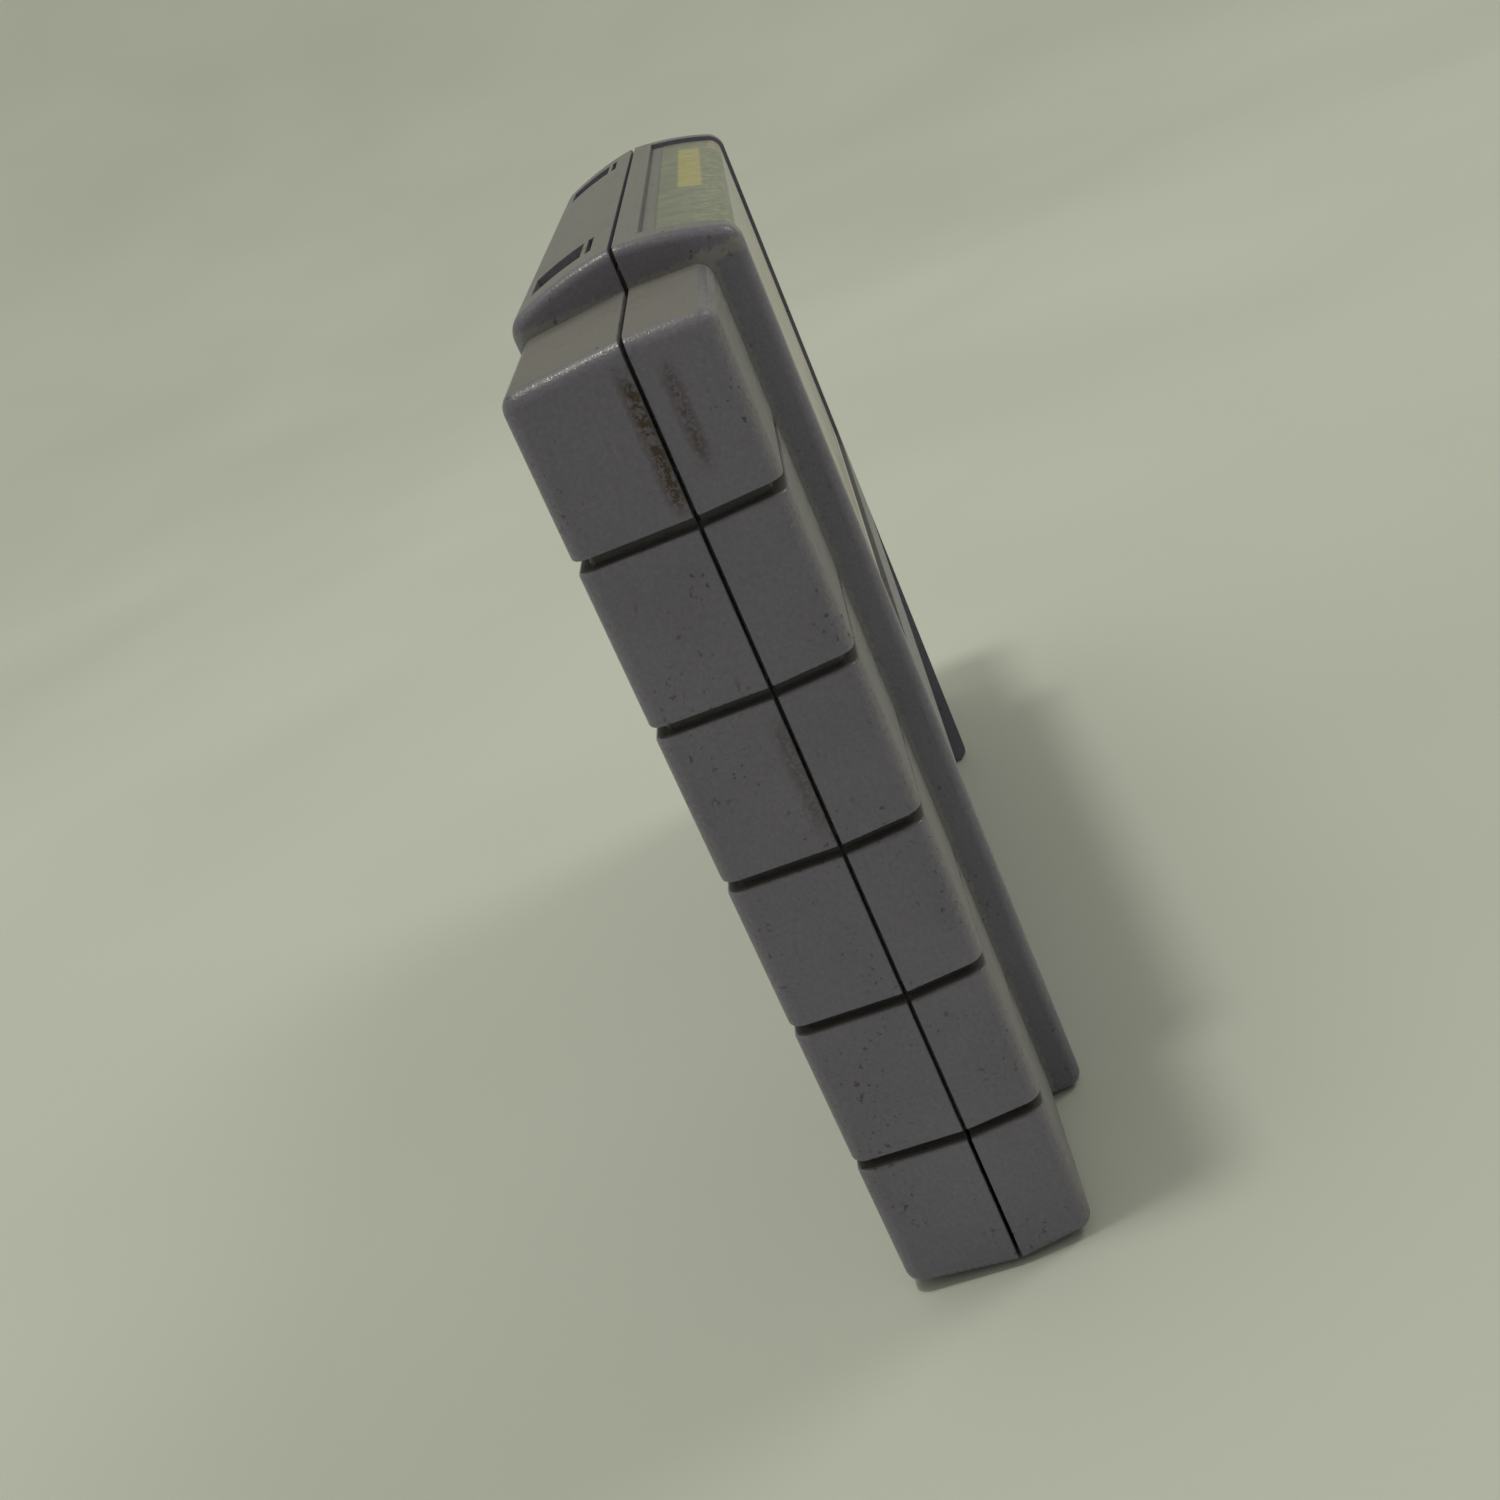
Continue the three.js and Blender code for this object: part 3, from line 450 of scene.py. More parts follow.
def hollow_steps(side):
    """The space inside one half, with the connector mouth and the screw tubes left standing."""
    case = settings()
    wall = mm(case.wall)
    groove = mm(case.groove_depth)
    half = HALF_WIDTH - groove - wall
    centre = mm(case.centre_width) / 2
    wing_ceiling = CASE_HEIGHT - mm(case.wing_drop) - wall - CEILING_DROP
    ceiling = CASE_HEIGHT - wall - CEILING_DROP
    step = mm(case.wing_front_step if side == FRONT else case.wing_rear_step)
    wing_depth = CASE_DEPTH - step - groove - 1.5
    steps = []

    def reach(depth):
        return (-depth, 1.0) if side == FRONT else (-1.0, depth)

    for hand in (-1, 1):
        x0, x1 = sorted((hand * (centre - 0.01), hand * half))
        steps.append(("DIFFERENCE", cube(x0, x1, *reach(wing_depth), wall + 1, wing_ceiling)))
        x0, x1 = sorted((hand * (centre - wall - 0.5), hand * centre))
        steps.append(("DIFFERENCE", cube(x0, x1, *reach(wing_depth), MOUTH_CEILING, wing_ceiling)))
    inner = centre - wall
    if side == FRONT:
        # Shallower behind the sloping panel, and lower under the label's recess.
        rooms = ((CASE_DEPTH - wall - SLOPE_DEPTH, MOUTH_CEILING, SLOPE_TOP + 3),
                 (CASE_DEPTH - wall, SLOPE_TOP + 2, ceiling - 1.2), (4.0, SLOPE_TOP + 2, ceiling))
    else:
        rooms = ((CASE_DEPTH - wall, MOUTH_CEILING, ceiling - 3),
                 (CASE_DEPTH - wall - 3, MOUTH_CEILING, ceiling))
    for depth, z0, z1 in rooms:
        steps.append(("DIFFERENCE", cube(-inner, inner, *reach(depth), z0, z1)))
    for x0, x1 in MOUTH_SECTIONS:
        steps.append(("DIFFERENCE", cube(x0, x1, MOUTH_FRONT, MOUTH_REAR, -1, MOUTH_CEILING + 1)))
    return steps


def label_floor(depth):
    """The front half's middle set in by a depth, wide enough to cut with."""
    return middle_block(FRONT, inset=depth, half=mm(settings().centre_width) / 2 + 2, rounded=False)


def label_zone(grow, back):
    """The front label's outline with rounded lower corners, run back to a depth from the front."""
    art = labels()
    half = mm(art.recess_width) / 2 + grow
    low = mm(art.recess_bottom) - grow
    bm = cube(-half, half, -CASE_DEPTH - 2, back, low, CASE_HEIGHT + 3)
    round_edges(bm, along_depth(bm, lambda p: near(p.z, low)), mm(art.corner), 8)
    return bm


def label_recess():
    """What is cut away for the front label, over the panel and on over the top."""
    art = labels()
    zone = label_zone(0.0, -mm(art.recess_top_edge))
    return carve(zone, [("DIFFERENCE", label_floor(mm(art.recess_depth)))])


def front_slope():
    """The hollow that deepens towards the bottom of the front panel."""
    half = mm(settings().centre_width) / 2 - SLOPE_RIM
    bm = cube(-half, half, -CASE_DEPTH - 1, -CASE_DEPTH, -1, SLOPE_TOP)
    upright = [e for e in bm.edges if abs(e.verts[0].co.z - e.verts[1].co.z) > 1]
    bmesh.ops.subdivide_edges(bm, edges=upright, cuts=24, use_grid_fill=True)
    for v in bm.verts:
        if near(v.co.y, -CASE_DEPTH):
            fall = 1 - (v.co.z + 1) / (SLOPE_TOP + 1)
            v.co.y += SLOPE_DEPTH * (0.8 * fall + 0.2 * fall * fall)
    return bm


def hook_openings():
    """Slots and pockets on top of the rear half, where the front half's hooks catch."""
    steps = []
    for x in HOOK_PLACES:
        x0, x1 = x - HOOK_HALF, x + HOOK_HALF
        steps.append(("DIFFERENCE", cube(x0, x1, 1.95, 2.5, CASE_HEIGHT - 5, CASE_HEIGHT + 1)))
        pocket = cube(x0, x1, 2.95, 7.9, CASE_HEIGHT - 1.5, CASE_HEIGHT + 1)
        for v in pocket.verts:
            if v.co.y > 5 and v.co.z < CASE_HEIGHT:
                v.co.z -= 1.2
        steps.append(("DIFFERENCE", pocket))
    return steps


def lip_ring(grow, z0, y0, y1, shrink=0.0):
    """The ring round the hollow where the halves enter each other, grown outwards by a thickness.
    As a cut it is shrunk inwards too, past the wall it opens."""
    case = settings()
    wall = mm(case.wall)
    half = HALF_WIDTH - mm(case.groove_depth) - wall
    wing_ceiling = CASE_HEIGHT - mm(case.wing_drop) - wall - CEILING_DROP
    centre = mm(case.centre_width) / 2 - wall
    ceiling = CASE_HEIGHT - wall - CEILING_DROP
    low = cube(-half - grow, half + grow, y0, y1, z0, wing_ceiling + grow)
    high = cube(-centre - grow, centre + grow, y0, y1, z0, ceiling + grow)
    ring = carve(low, [("UNION", high)])
    return carve(ring, [
        ("DIFFERENCE", cube(shrink - half, half - shrink, y0 - 1, y1 + 1, z0 - 1, wing_ceiling - shrink)),
        ("DIFFERENCE", cube(shrink - centre, centre - shrink, y0 - 1, y1 + 1, z0 - 1, ceiling - shrink)),
    ])


def front_bosses():
    """The front half's screw tubes, with the holes for the heads and shanks."""
    steps = []
    for x in (-SCREW_X, SCREW_X):
        steps.append(("UNION", rod(x, SCREW_Z, 4.5, -6.6, -1.5)))
    for x in (-SCREW_X, SCREW_X):
        steps.append(("DIFFERENCE", rod(x, SCREW_Z, SCREW_HOLE, -CASE_DEPTH - 1, -3.0)))
        steps.append(("DIFFERENCE", rod(x, SCREW_Z, SHANK_HOLE, -CASE_DEPTH - 1, 1.0)))
    return steps


def board_posts(side):
    """Posts and pins that hold the board, and the screw tubes of the rear half."""
    face = BOARD_LOW.y - 0.3 if side == FRONT else BOARD_HIGH.y + 0.3
    steps = []
    for x in POST_PLACES:
        if side == FRONT:
            steps.append(("UNION", cube(x - 1, x + 1, -6.6, face, 21, 27)))
            steps.append(("UNION", cube(x - 1, x + 1, -8.5, face, 67, 73)))
        else:
            steps.append(("UNION", cube(x - 1, x + 1, face, 8.5, 21, 27)))
    if side == REAR:
        for x in PEG_PLACES:
            steps.append(("UNION", rod(x, PEG_Z, 2.6, face, 7.8)))
            steps.append(("UNION", rod(x, PEG_Z, 1.4, BOARD_LOW.y - 0.9, 7.8)))
        for x in (-SCREW_X, SCREW_X):
            steps.append(("UNION", rod(x, SCREW_Z, 3.25, -1.2, 8.5)))
            steps.append(("DIFFERENCE", rod(x, SCREW_Z, SHANK_HOLE, -3.0, 7.6)))
    return steps


def case_half(side):
    """One half of the case, outside and inside."""
    case = settings()
    steps = []
    for hand in (-1, 1):
        steps.append(("UNION", wing_core(side, hand)))
        for index in range(case.block_count):
            steps.append(("UNION", wing_block(side, hand, index)))
    steps += hollow_steps(side)
    if side == FRONT:
        steps.append(("DIFFERENCE", label_recess()))
        steps.append(("DIFFERENCE", front_slope()))
        steps += board_posts(FRONT) + front_bosses()
        # Each hook: a root in the wall, an arm across the parting line and an upturned tip.
        arm, clear = CASE_HEIGHT - 2.9, []
        for x in HOOK_PLACES:
            x0, x1 = x - HOOK_HALF + 0.3, x + HOOK_HALF - 0.3
            steps.append(("UNION", cube(x0, x1, -4, -0.6, arm - 1.3, arm + 0.8)))
            steps.append(("UNION", cube(x0, x1, -2, 2.4, arm - 1.3, arm)))
            steps.append(("UNION", cube(x0, x1, 2.05, 2.4, arm - 1.3, CASE_HEIGHT - 1.4)))
            clear.append(("DIFFERENCE", cube(x0 - 1.3, x1 + 1.3, 0, 3, CASE_HEIGHT - 6, CASE_HEIGHT)))
        steps.append(("UNION", carve(lip_ring(0.7, 13.0, -1.0, 1.2), clear)))
    else:
        steps.append(("DIFFERENCE", lip_ring(1.0, 12.7, -1.0, 1.5, shrink=0.1)))
        steps += hook_openings()
        for x in NOTCH_PLACES:
            steps.append(("DIFFERENCE", cube(x - NOTCH_HALF, x + NOTCH_HALF, CASE_DEPTH - NOTCH_DEPTH,
                                             CASE_DEPTH + 1, -1, NOTCH_HEIGHT)))
        low, high, rim = BACK_LABEL_LOW, BACK_LABEL_HIGH, LABEL_MARGIN
        recess = cube(low.x - rim, high.x + rim, CASE_DEPTH - LABEL_RECESS_BACK, CASE_DEPTH + 1,
                      low.z - rim, high.z + rim)
        round_edges(recess, along_depth(recess), LABEL_CORNER, 8)
        steps.append(("DIFFERENCE", recess))
        steps += board_posts(REAR)
    return carve(middle_block(side), steps)


# ------------------------------------------------------------------ materials

def linear(hex_value):
    """A hex sRGB colour as linear RGBA."""
    parts = [int(hex_value.lstrip("#")[i:i + 2], 16) / 255 for i in (0, 2, 4)]
    return (*[c / 12.92 if c <= 0.04045 else ((c + 0.055) / 1.055) ** 2.4 for c in parts], 1.0)


def node(tree, kind, inputs=(), output=0, **fields):
    """Adds one node and gives one of its outputs. Inputs come in order, or keyed by name or number:
    a socket is linked and anything else is set. Fields are the node's own settings."""
    made = tree.nodes.new("ShaderNode" + kind)
    for name, value in fields.items():
        setattr(made, name, value)
    for key, value in inputs.items() if isinstance(inputs, dict) else enumerate(inputs):
        if isinstance(value, bpy.types.NodeSocket):
            tree.links.new(value, made.inputs[key])
        else:
            made.inputs[key].default_value = value
    return made.outputs[output]


def new_material(name, **shader_values):
    """A material with one Principled shader, whose even values are set on its own sockets."""
    material = bpy.data.materials.new(name)
    material.use_nodes = True
    tree = material.node_tree
    tree.nodes.clear()
    values = {key.replace("_", " "): value for key, value in shader_values.items()}
    surface = node(tree, "BsdfPrincipled", values)
    tree.links.new(surface, tree.nodes.new("ShaderNodeOutputMaterial").inputs["Surface"])
    return material, tree, surface.node


def wire(tree, shader, **sources):
    """Links what was made for the colour, gloss and grain to the shader."""
    for name, source in sources.items():
        tree.links.new(source, shader.inputs[name.replace("_", " ")])


def place_in_mm(tree):
    """Object coordinates in millimetres, whole and then as x, y and z."""
    place = node(tree, "TexCoord", output="Object")
    where = node(tree, "VectorMath", {0: place, "Scale": 1 / MM}, operation="SCALE")
    return where, *node(tree, "SeparateXYZ", (where,)).node.outputs


def spotted(tree, where, size, low, high, to_low=0.0, to_high=1.0, detail=3.0, roughness=0.55):
    """Patches about one size across, in millimetres: noise with low to high spread over a new span."""
    raw = node(tree, "TexNoise", {"Vector": where, "Scale": 1 / size, "Detail": detail, "Roughness": roughness})
    return node(tree, "MapRange", (raw, low, high, to_low, to_high))


def grainy(tree, where, size, strength, height, detail=2.0, roughness=0.55, under=None):
    """A normal raised into grains about one size across, over another normal if one is given."""
    raw = node(tree, "TexNoise", {"Vector": where, "Scale": 1 / size, "Detail": detail, "Roughness": roughness})
    inputs = {"Height": raw, "Strength": strength, "Distance": height * MM}
    if under is not None:
        inputs["Normal"] = under
    return node(tree, "Bump", inputs)


def all_of(tree, *masks):
    """Where every mask holds: their product."""
    share = masks[0]
    for mask in masks[1:]:
        share = node(tree, "Math", (share, mask), operation="MULTIPLY")
    return share


def within(tree, value, low, high, soft):
    """1 between low and high, with soft ends."""
    rise = node(tree, "MapRange", (value, low - soft, low + soft))
    fall = node(tree, "MapRange", (value, high - soft, high + soft, 1.0, 0.0))
    return all_of(tree, rise, fall)


def apart(tree, value, centre):
    """How far a value is from a centre."""
    offset = node(tree, "Math", (value, centre), operation="SUBTRACT")
    return node(tree, "Math", (offset,), operation="ABSOLUTE")


def cover(tree, base, mask, strength, ink):
    """Lays a hex colour over a base where a mask holds."""
    share = node(tree, "Math", (mask, strength), operation="MULTIPLY")
    return node(tree, "Mix", {0: share, 6: base, 7: linear(ink)}, 2, data_type="RGBA")


def shaded(tree, base, tone):
    """A colour made darker or lighter by a tone round 1."""
    grey = node(tree, "CombineColor", (tone, tone, tone))
    return node(tree, "Mix", {0: 1.0, 6: base, 7: grey}, 2, data_type="RGBA", blend_type="MULTIPLY")


def case_plastic():
    """ABS, injection moulded in a spark-eroded tool: an even, very fine grit that breaks up
    highlights, with dust on upper faces, brown grime by the parting line and polished edges.
    Painted shade darkens the groove floors and the wing tops beside the middle, and a painted
    highlight lays pale flecks on the edges."""
    case, finish = settings(), finishes()
    material, tree, shader = new_material("abs_moulded_spark_eroded", IOR=1.54)
    where, x, y, z = place_in_mm(tree)
    aside = node(tree, "Math", (x,), operation="ABSOLUTE")
    depth = node(tree, "Math", (y,), operation="ABSOLUTE")
    normal = node(tree, "NewGeometry", output="True Normal")
    facing = node(tree, "SeparateXYZ", (normal,)).node.outputs
    middle = mm(case.centre_width) / 2
    wing_top = CASE_HEIGHT - mm(case.wing_drop)
    wing_front = CASE_DEPTH - mm(case.wing_front_step)
    wing_back = CASE_DEPTH - mm(case.wing_rear_step)
    grit = mm(finish.grit)

    # Moulded colour: a broad, faint drift in tone and a finer one from the grit's shadowing.
    drift = spotted(tree, where, 14.0, 0.35, 0.65, detail=2.0)
    base = cover(tree, linear(finish.plastic), drift, 1.0, "#746f81")
    base = shaded(tree, base, spotted(tree, where, grit * 1.6, 0.3, 0.7, 0.90, 1.08, detail=2.0))

    # Dust lies on level faces, up to where they begin to turn.
    upward = node(tree, "MapRange", (facing[2], 0.86, 0.97))
    patchy = spotted(tree, where, 2.6, 0.25, 0.75, 0.45, 1.0, 4.0, 0.7)
    on_top = all_of(tree, upward, patchy, 0.75)
    base = cover(tree, base, on_top, 1.0, finish.dust)

    # Lint is wiped into level streaks across the fronts of the wings.
    on_wing = node(tree, "MapRange", (aside, middle - 0.9, middle - 0.4))
    forward = node(tree, "MapRange", (facing[1], -0.6, -0.95))
    wiped = node(tree, "Mapping", {0: where, "Scale": (0.12, 1.0, 1.0)})
    streaky = spotted(tree, wiped, 0.5, 0.36, 0.62, 0.05, 0.9, 4.0, 0.75)
    on_front = all_of(tree, on_wing, forward, streaky)

    # It also creeps about half a millimetre up the middle's side walls, with a ragged edge.
    ragged = spotted(tree, where, 0.5, 0.0, 1.0, -0.8, 0.8, 4.0, 0.7)

    def creeps(distance, start, z_none, z_full):
        """From a wing's surface to a ragged reach past it, faded in between two heights."""
        past = node(tree, "Math", (distance, ragged), operation="ADD")
        reach = node(tree, "MapRange", (past, start + 0.25, start))
        return all_of(tree, reach, node(tree, "MapRange", (z, z_none, z_full)))

    past_front = creeps(depth, wing_front + 0.25, wing_top + 0.4, wing_top - 0.6)
    past_top = creeps(z, wing_top + 0.1, wing_top - 1.0, wing_top - 0.6)
    crept = node(tree, "Math", (past_front, past_top), operation="MAXIMUM")
    by_middle = all_of(tree, node(tree, "MapRange", (aside, middle - 2.1, middle - 1.5)),
                       node(tree, "MapRange", (aside, middle + 0.4, middle + 0.1)))
    lint = node(tree, "Math", (on_front, all_of(tree, crept, by_middle, 0.6)), operation="MAXIMUM")
    base = cover(tree, base, lint, 1.0, finish.lint)
    dust = node(tree, "Math", (on_top, lint), operation="MAXIMUM")

    # The wing tops are painted darker, most of all in the angle beside the middle: painted shade where the
    # middle's wall shades them.
    angle = node(tree, "MapRange", (aside, middle + 0.7, middle + 3.7, 0.5, 0.22))
    base = cover(tree, base, all_of(tree, on_wing, angle, upward), 1.0, "#544c45")

    # Grime: brown specks hug the parting line on the rear half of the left wing's top block, and
    # stand off it a little on the front half. The third block down has a fainter patch.
    outer_face = all_of(tree, node(tree, "MapRange", (facing[0], -0.7, -0.95)),
                        node(tree, "MapRange", (x, -60.0, -64.0)))
    top_block = within(tree, z, 71.0, 81.3, 0.9)
    third_block = all_of(tree, within(tree, z, 44.0, 53.5, 1.5), 0.5)
    blocks = node(tree, "Math", (top_block, third_block), operation="ADD")
    rear_band = all_of(tree, within(tree, y, 0.0, 1.3, 0.4), blocks)
    front_band = all_of(tree, within(tree, y, -2.75, -1.75, 0.4), within(tree, z, 73.5, 80.5, 1.2), 0.75)
    bands = all_of(tree, node(tree, "Math", (rear_band, front_band), operation="ADD"), outer_face)
    specks = spotted(tree, where, 0.36, 0.42, 0.50, detail=4.0, roughness=0.75)
    clumps = spotted(tree, where, 1.7, 0.28, 0.42, detail=2.0)
    grime = node(tree, "Math", (all_of(tree, specks, clumps, bands), all_of(tree, clumps, bands, 0.30)),
                 operation="MAXIMUM")
    base = cover(tree, base, grime, 1.0, finish.grime)

    # Grooves: their floors are painted near black, as painted shade in the recess and for dirt packed in it.
    # They are found by height, and by how far the surface lies under the blocks' leaning sides.
    half_groove = mm(case.groove_width) / 2
    level = node(tree, "Math", (z, wing_top / case.block_count / 2), operation="PINGPONG")
    at_groove = all_of(tree, node(tree, "MapRange", (level, half_groove + 0.05, half_groove - 0.05)),
                       within(tree, z, 3.0, CASE_HEIGHT - 7.0, 0.5))
    upright = node(tree, "Math", (depth, math.tan(case.side_draft), aside), operation="MULTIPLY_ADD")
    under_side = node(tree, "MapRange", (upright, HALF_WIDTH - 0.22, HALF_WIDTH - 0.75))
    face = node(tree, "MapRange", (y, -0.01, 0.01, wing_front, wing_back))
    under_face = node(tree, "Math", (face, depth), operation="SUBTRACT")
    under_face = node(tree, "MapRange", (under_face, 0.22, 0.75))
    in_groove = all_of(tree, under_side, under_face, on_wing, at_groove)
    base = cover(tree, base, in_groove, 0.9, "#232021")

    # Handling: small dark specks, sparse and in loose groups.
    spots = all_of(tree, spotted(tree, where, 0.5, 0.66, 0.70, detail=2.0, roughness=0.4),
                   spotted(tree, where, 7.0, 0.46, 0.60, detail=2.0))
    base = cover(tree, base, spots, 0.7, "#38312d")

    # Edges: wherever a rounding turns between two faces the grit is rubbed smoother, and pale flecks are
    # painted on them as a painted highlight of their glints.
    sizes = node(tree, "VectorMath", (normal,), operation="ABSOLUTE")
    across, deep, high = node(tree, "SeparateXYZ", (sizes,)).node.outputs
    greatest = node(tree, "Math", (across, deep), operation="MAXIMUM")
    greatest = node(tree, "Math", (greatest, high), operation="MAXIMUM")
    rubbed_glint_flecks = all_of(tree, node(tree, "MapRange", (greatest, 0.955, 0.90)),
                    spotted(tree, where, 0.30, 0.44, 0.58, detail=2.0, roughness=0.5))
    # The pale flecks laid on here are a painted highlight.
    base = cover(tree, base, rubbed_glint_flecks, 0.2, "#98949c")

    # Gloss: matt over the grit and the dust, shinier on rubbed edges.
    gloss = spotted(tree, where, 5.0, 0.3, 0.7, 0.34, 0.42)
    gloss = node(tree, "Math", (rubbed_glint_flecks, -0.17, gloss), operation="MULTIPLY_ADD")
    gloss = node(tree, "Math", (dust, 0.5, gloss), operation="MULTIPLY_ADD")

    # The grit, coarser than the real 0.1 mm so that it still shows, on softened cut edges.
    soft_edge = node(tree, "Bevel", {"Radius": 0.12 * MM}, samples=4)
    worn = grainy(tree, where, grit, 0.7, 0.05, roughness=0.6, under=soft_edge)
    wire(tree, shader, Base_Color=base, Roughness=gloss, Normal=worn)
    return material


def label_print():
    """Coated paper, offset printed and varnished: flat inks that turn white at a low angle."""
    art = labels()
    material, tree, shader = new_material("coated_paper_offset_printed", IOR=1.5,
                                          Coat_Weight=0.35, Coat_Roughness=0.22)
    where, x, y, z = place_in_mm(tree)
    aside = node(tree, "Math", (x,), operation="ABSOLUTE")
    half = mm(art.recess_width) / 2 - mm(art.margin)
    back_edge = -mm(art.recess_top_edge) - mm(art.margin)

    # Front: a pale sky over two rounded hills with a low sun, in a thin pale frame.
    picture = cover(tree, linear(art.hill), node(tree, "MapRange", (z, 47.0, 82.0)), 1.0, art.sky)
    hills = ((0.0, 0.11, 3.0, 58.0, "#9b8f8b"), (14.0, 0.16, 2.0, 53.0, "#7f6f6b"))
    for shift, turn, rise, level, ink in hills:
        wave = node(tree, "Math", (x, turn, shift * turn), operation="MULTIPLY_ADD")
        wave = node(tree, "Math", (wave,), operation="SINE")
        ridge = node(tree, "Math", (wave, rise, level), operation="MULTIPLY_ADD")
        below = node(tree, "Math", (ridge, z), operation="SUBTRACT")
        picture = cover(tree, picture, node(tree, "MapRange", (below, -0.1, 0.1)), 1.0, ink)
    on_front = node(tree, "CombineXYZ", {0: x, 2: z})
    away = node(tree, "VectorMath", (on_front, (20.0, 0.0, 71.0)), "Value", operation="DISTANCE")
    picture = cover(tree, picture, node(tree, "MapRange", (away, 5.9, 6.1, 1.0, 0.0)), 1.0, "#c3ae97")
    frame_line = node(tree, "Math", (node(tree, "MapRange", (aside, 37.6, 37.8)),
                                     node(tree, "MapRange", (z, 49.2, 49.0))), operation="MAXIMUM")
    picture = cover(tree, picture, frame_line, 1.0, "#b9b4ad")

    # Top: an olive strip with faint cross lines and rows, a yellow bar and a pink corner.
    along = node(tree, "Math", (x, 13.5), operation="ADD")
    along = node(tree, "Math", (along, 8.5), operation="PINGPONG")
    lines = node(tree, "MapRange", (along, 0.204, 0.51, 1.0, 0.0))
    top = cover(tree, linear(art.spine), lines, 0.45, "#5f634f")
    inward = node(tree, "Math", (y, 0.95), operation="ADD")
    inward = node(tree, "Math", (inward, 0.95), operation="PINGPONG")
    rows = node(tree, "MapRange", (inward, 0.304, 0.095))
    dashes = spotted(tree, where, 1.3, 0.46, 0.58, detail=2.0)
    top = cover(tree, top, all_of(tree, rows, dashes), 0.25, "#676b58")
    bar = all_of(tree, within(tree, x, -9.0, 31.0, 0.3), within(tree, y, -7.5, -5.3, 0.12),
                 spotted(tree, where, 2.4, 0.34, 0.42, 0.35, 1.0, 2.0))
    top = cover(tree, top, bar, 1.0, art.bar)
    patch = all_of(tree, node(tree, "MapRange", (x, 29.0, 31.0)), node(tree, "MapRange", (y, -8.2, -8.7)))
    top = cover(tree, top, patch, 1.0, art.corner_ink)
    fold = node(tree, "MapRange", (z, 83.4, 83.8))
    colour = node(tree, "Mix", {0: fold, 6: picture, 7: top}, 2, data_type="RGBA")

    # Cut edge: a thin dark line is painted along the label's rim, as painted shade of the gap between the label
    # and its recess.
    rim = node(tree, "Math", (node(tree, "MapRange", (y, back_edge - 0.17, back_edge - 0.09)),
                              node(tree, "MapRange", (aside, half - 0.18, half - 0.1))), operation="MAXIMUM")
    colour = cover(tree, colour, rim, 0.7, "#4a443c")

    # Wear: the ink is rubbed thin along the bend, and the paper shows.
    rub = all_of(tree, within(tree, z, 82.6, 85.4, 0.6),
                 spotted(tree, where, 0.8, 0.44, 0.62, detail=4.0, roughness=0.7))
    colour = cover(tree, colour, rub, 0.5, "#c9c3b6")
    colour = shaded(tree, colour, spotted(tree, where, 9.0, 0.3, 0.7, 0.93, 1.04))
    # Paper lies in slow waves of a few millimetres, with a fibre of a fifth of a millimetre.
    waves = grainy(tree, where, 6.0, 0.35, 0.05, detail=1.0)
    wire(tree, shader, Base_Color=colour, Roughness=spotted(tree, where, 2.5, 0.3, 0.7, 0.28, 0.44, 4.0),
         Normal=grainy(tree, where, 0.2, 0.12, 0.02, under=waves))
    return material


def plain_label():
    """Uncoated paper, cut and left blank: matt, with a faint fibre, one thin rule and yellowed edges."""
    material, tree, shader = new_material("uncoated_paper_blank", IOR=1.48)
    where, x, _, z = place_in_mm(tree)
    fibre = spotted(tree, where, 0.35, 0.3, 0.7, detail=4.0, roughness=0.7)
    colour = cover(tree, linear("#a7a6a2"), fibre, 1.0, "#b2b1ac")
    edge = node(tree, "Math", (node(tree, "MapRange", (apart(tree, x, 0.0), 27.5, 31.0)),
                               node(tree, "MapRange", (apart(tree, z, 48.0), 9.5, 13.0))), operation="MAXIMUM")
    colour = cover(tree, colour, edge, 0.45, "#a39a84")
    rule = all_of(tree, node(tree, "MapRange", (apart(tree, z, 41.5), 0.10, 0.16, 1.0, 0.0)),
                  within(tree, x, -26.0, 26.0, 0.1))
    colour = cover(tree, colour, rule, 0.7, "#6c6b6a")
    wire(tree, shader, Base_Color=colour, Roughness=node(tree, "MapRange", (fibre, 0.0, 1.0, 0.66, 0.78)),
         Normal=node(tree, "Bump", {"Height": fibre, "Strength": 0.3, "Distance": 0.02 * MM}))
    return material


def metal(name, light, dark, rough, brushed=None):
    """Plated steel or nickel: tone and gloss drift, with fine lines where it was rolled or brushed."""
    material, tree, shader = new_material(name, Metallic=1.0)
    where = place_in_mm(tree)[0]
    drift = spotted(tree, where, 1.6, 0.32, 0.68, detail=4.0, roughness=0.65)
    if brushed:
        lines = node(tree, "Mapping", {0: where, "Scale": brushed})
        surface = grainy(tree, lines, 0.12, 0.25, 0.01)
    else:
        surface = grainy(tree, where, 0.25, 0.2, 0.01, detail=3.0)
    wire(tree, shader, Base_Color=cover(tree, linear(light), drift, 1.0, dark), Normal=surface,
         Roughness=spotted(tree, where, 0.6, 0.3, 0.7, rough - 0.06, rough + 0.1))
    return material


def painted(name, light, dark, grain, rough, height, ior=1.5):
    """Moulded, dipped or sleeved parts: two close tones at the maker's grain, with a matching bump."""
    material, tree, shader = new_material(name, IOR=ior)
    where = place_in_mm(tree)[0]
    drift = spotted(tree, where, grain, 0.3, 0.7, detail=4.0, roughness=0.6)
    wire(tree, shader, Base_Color=cover(tree, linear(light), drift, 1.0, dark),
         Roughness=spotted(tree, where, grain * 2.5, 0.3, 0.7, rough - 0.05, rough + 0.08),
         Normal=grainy(tree, where, grain * 0.6, 0.3, height, detail=3.0))
    return material


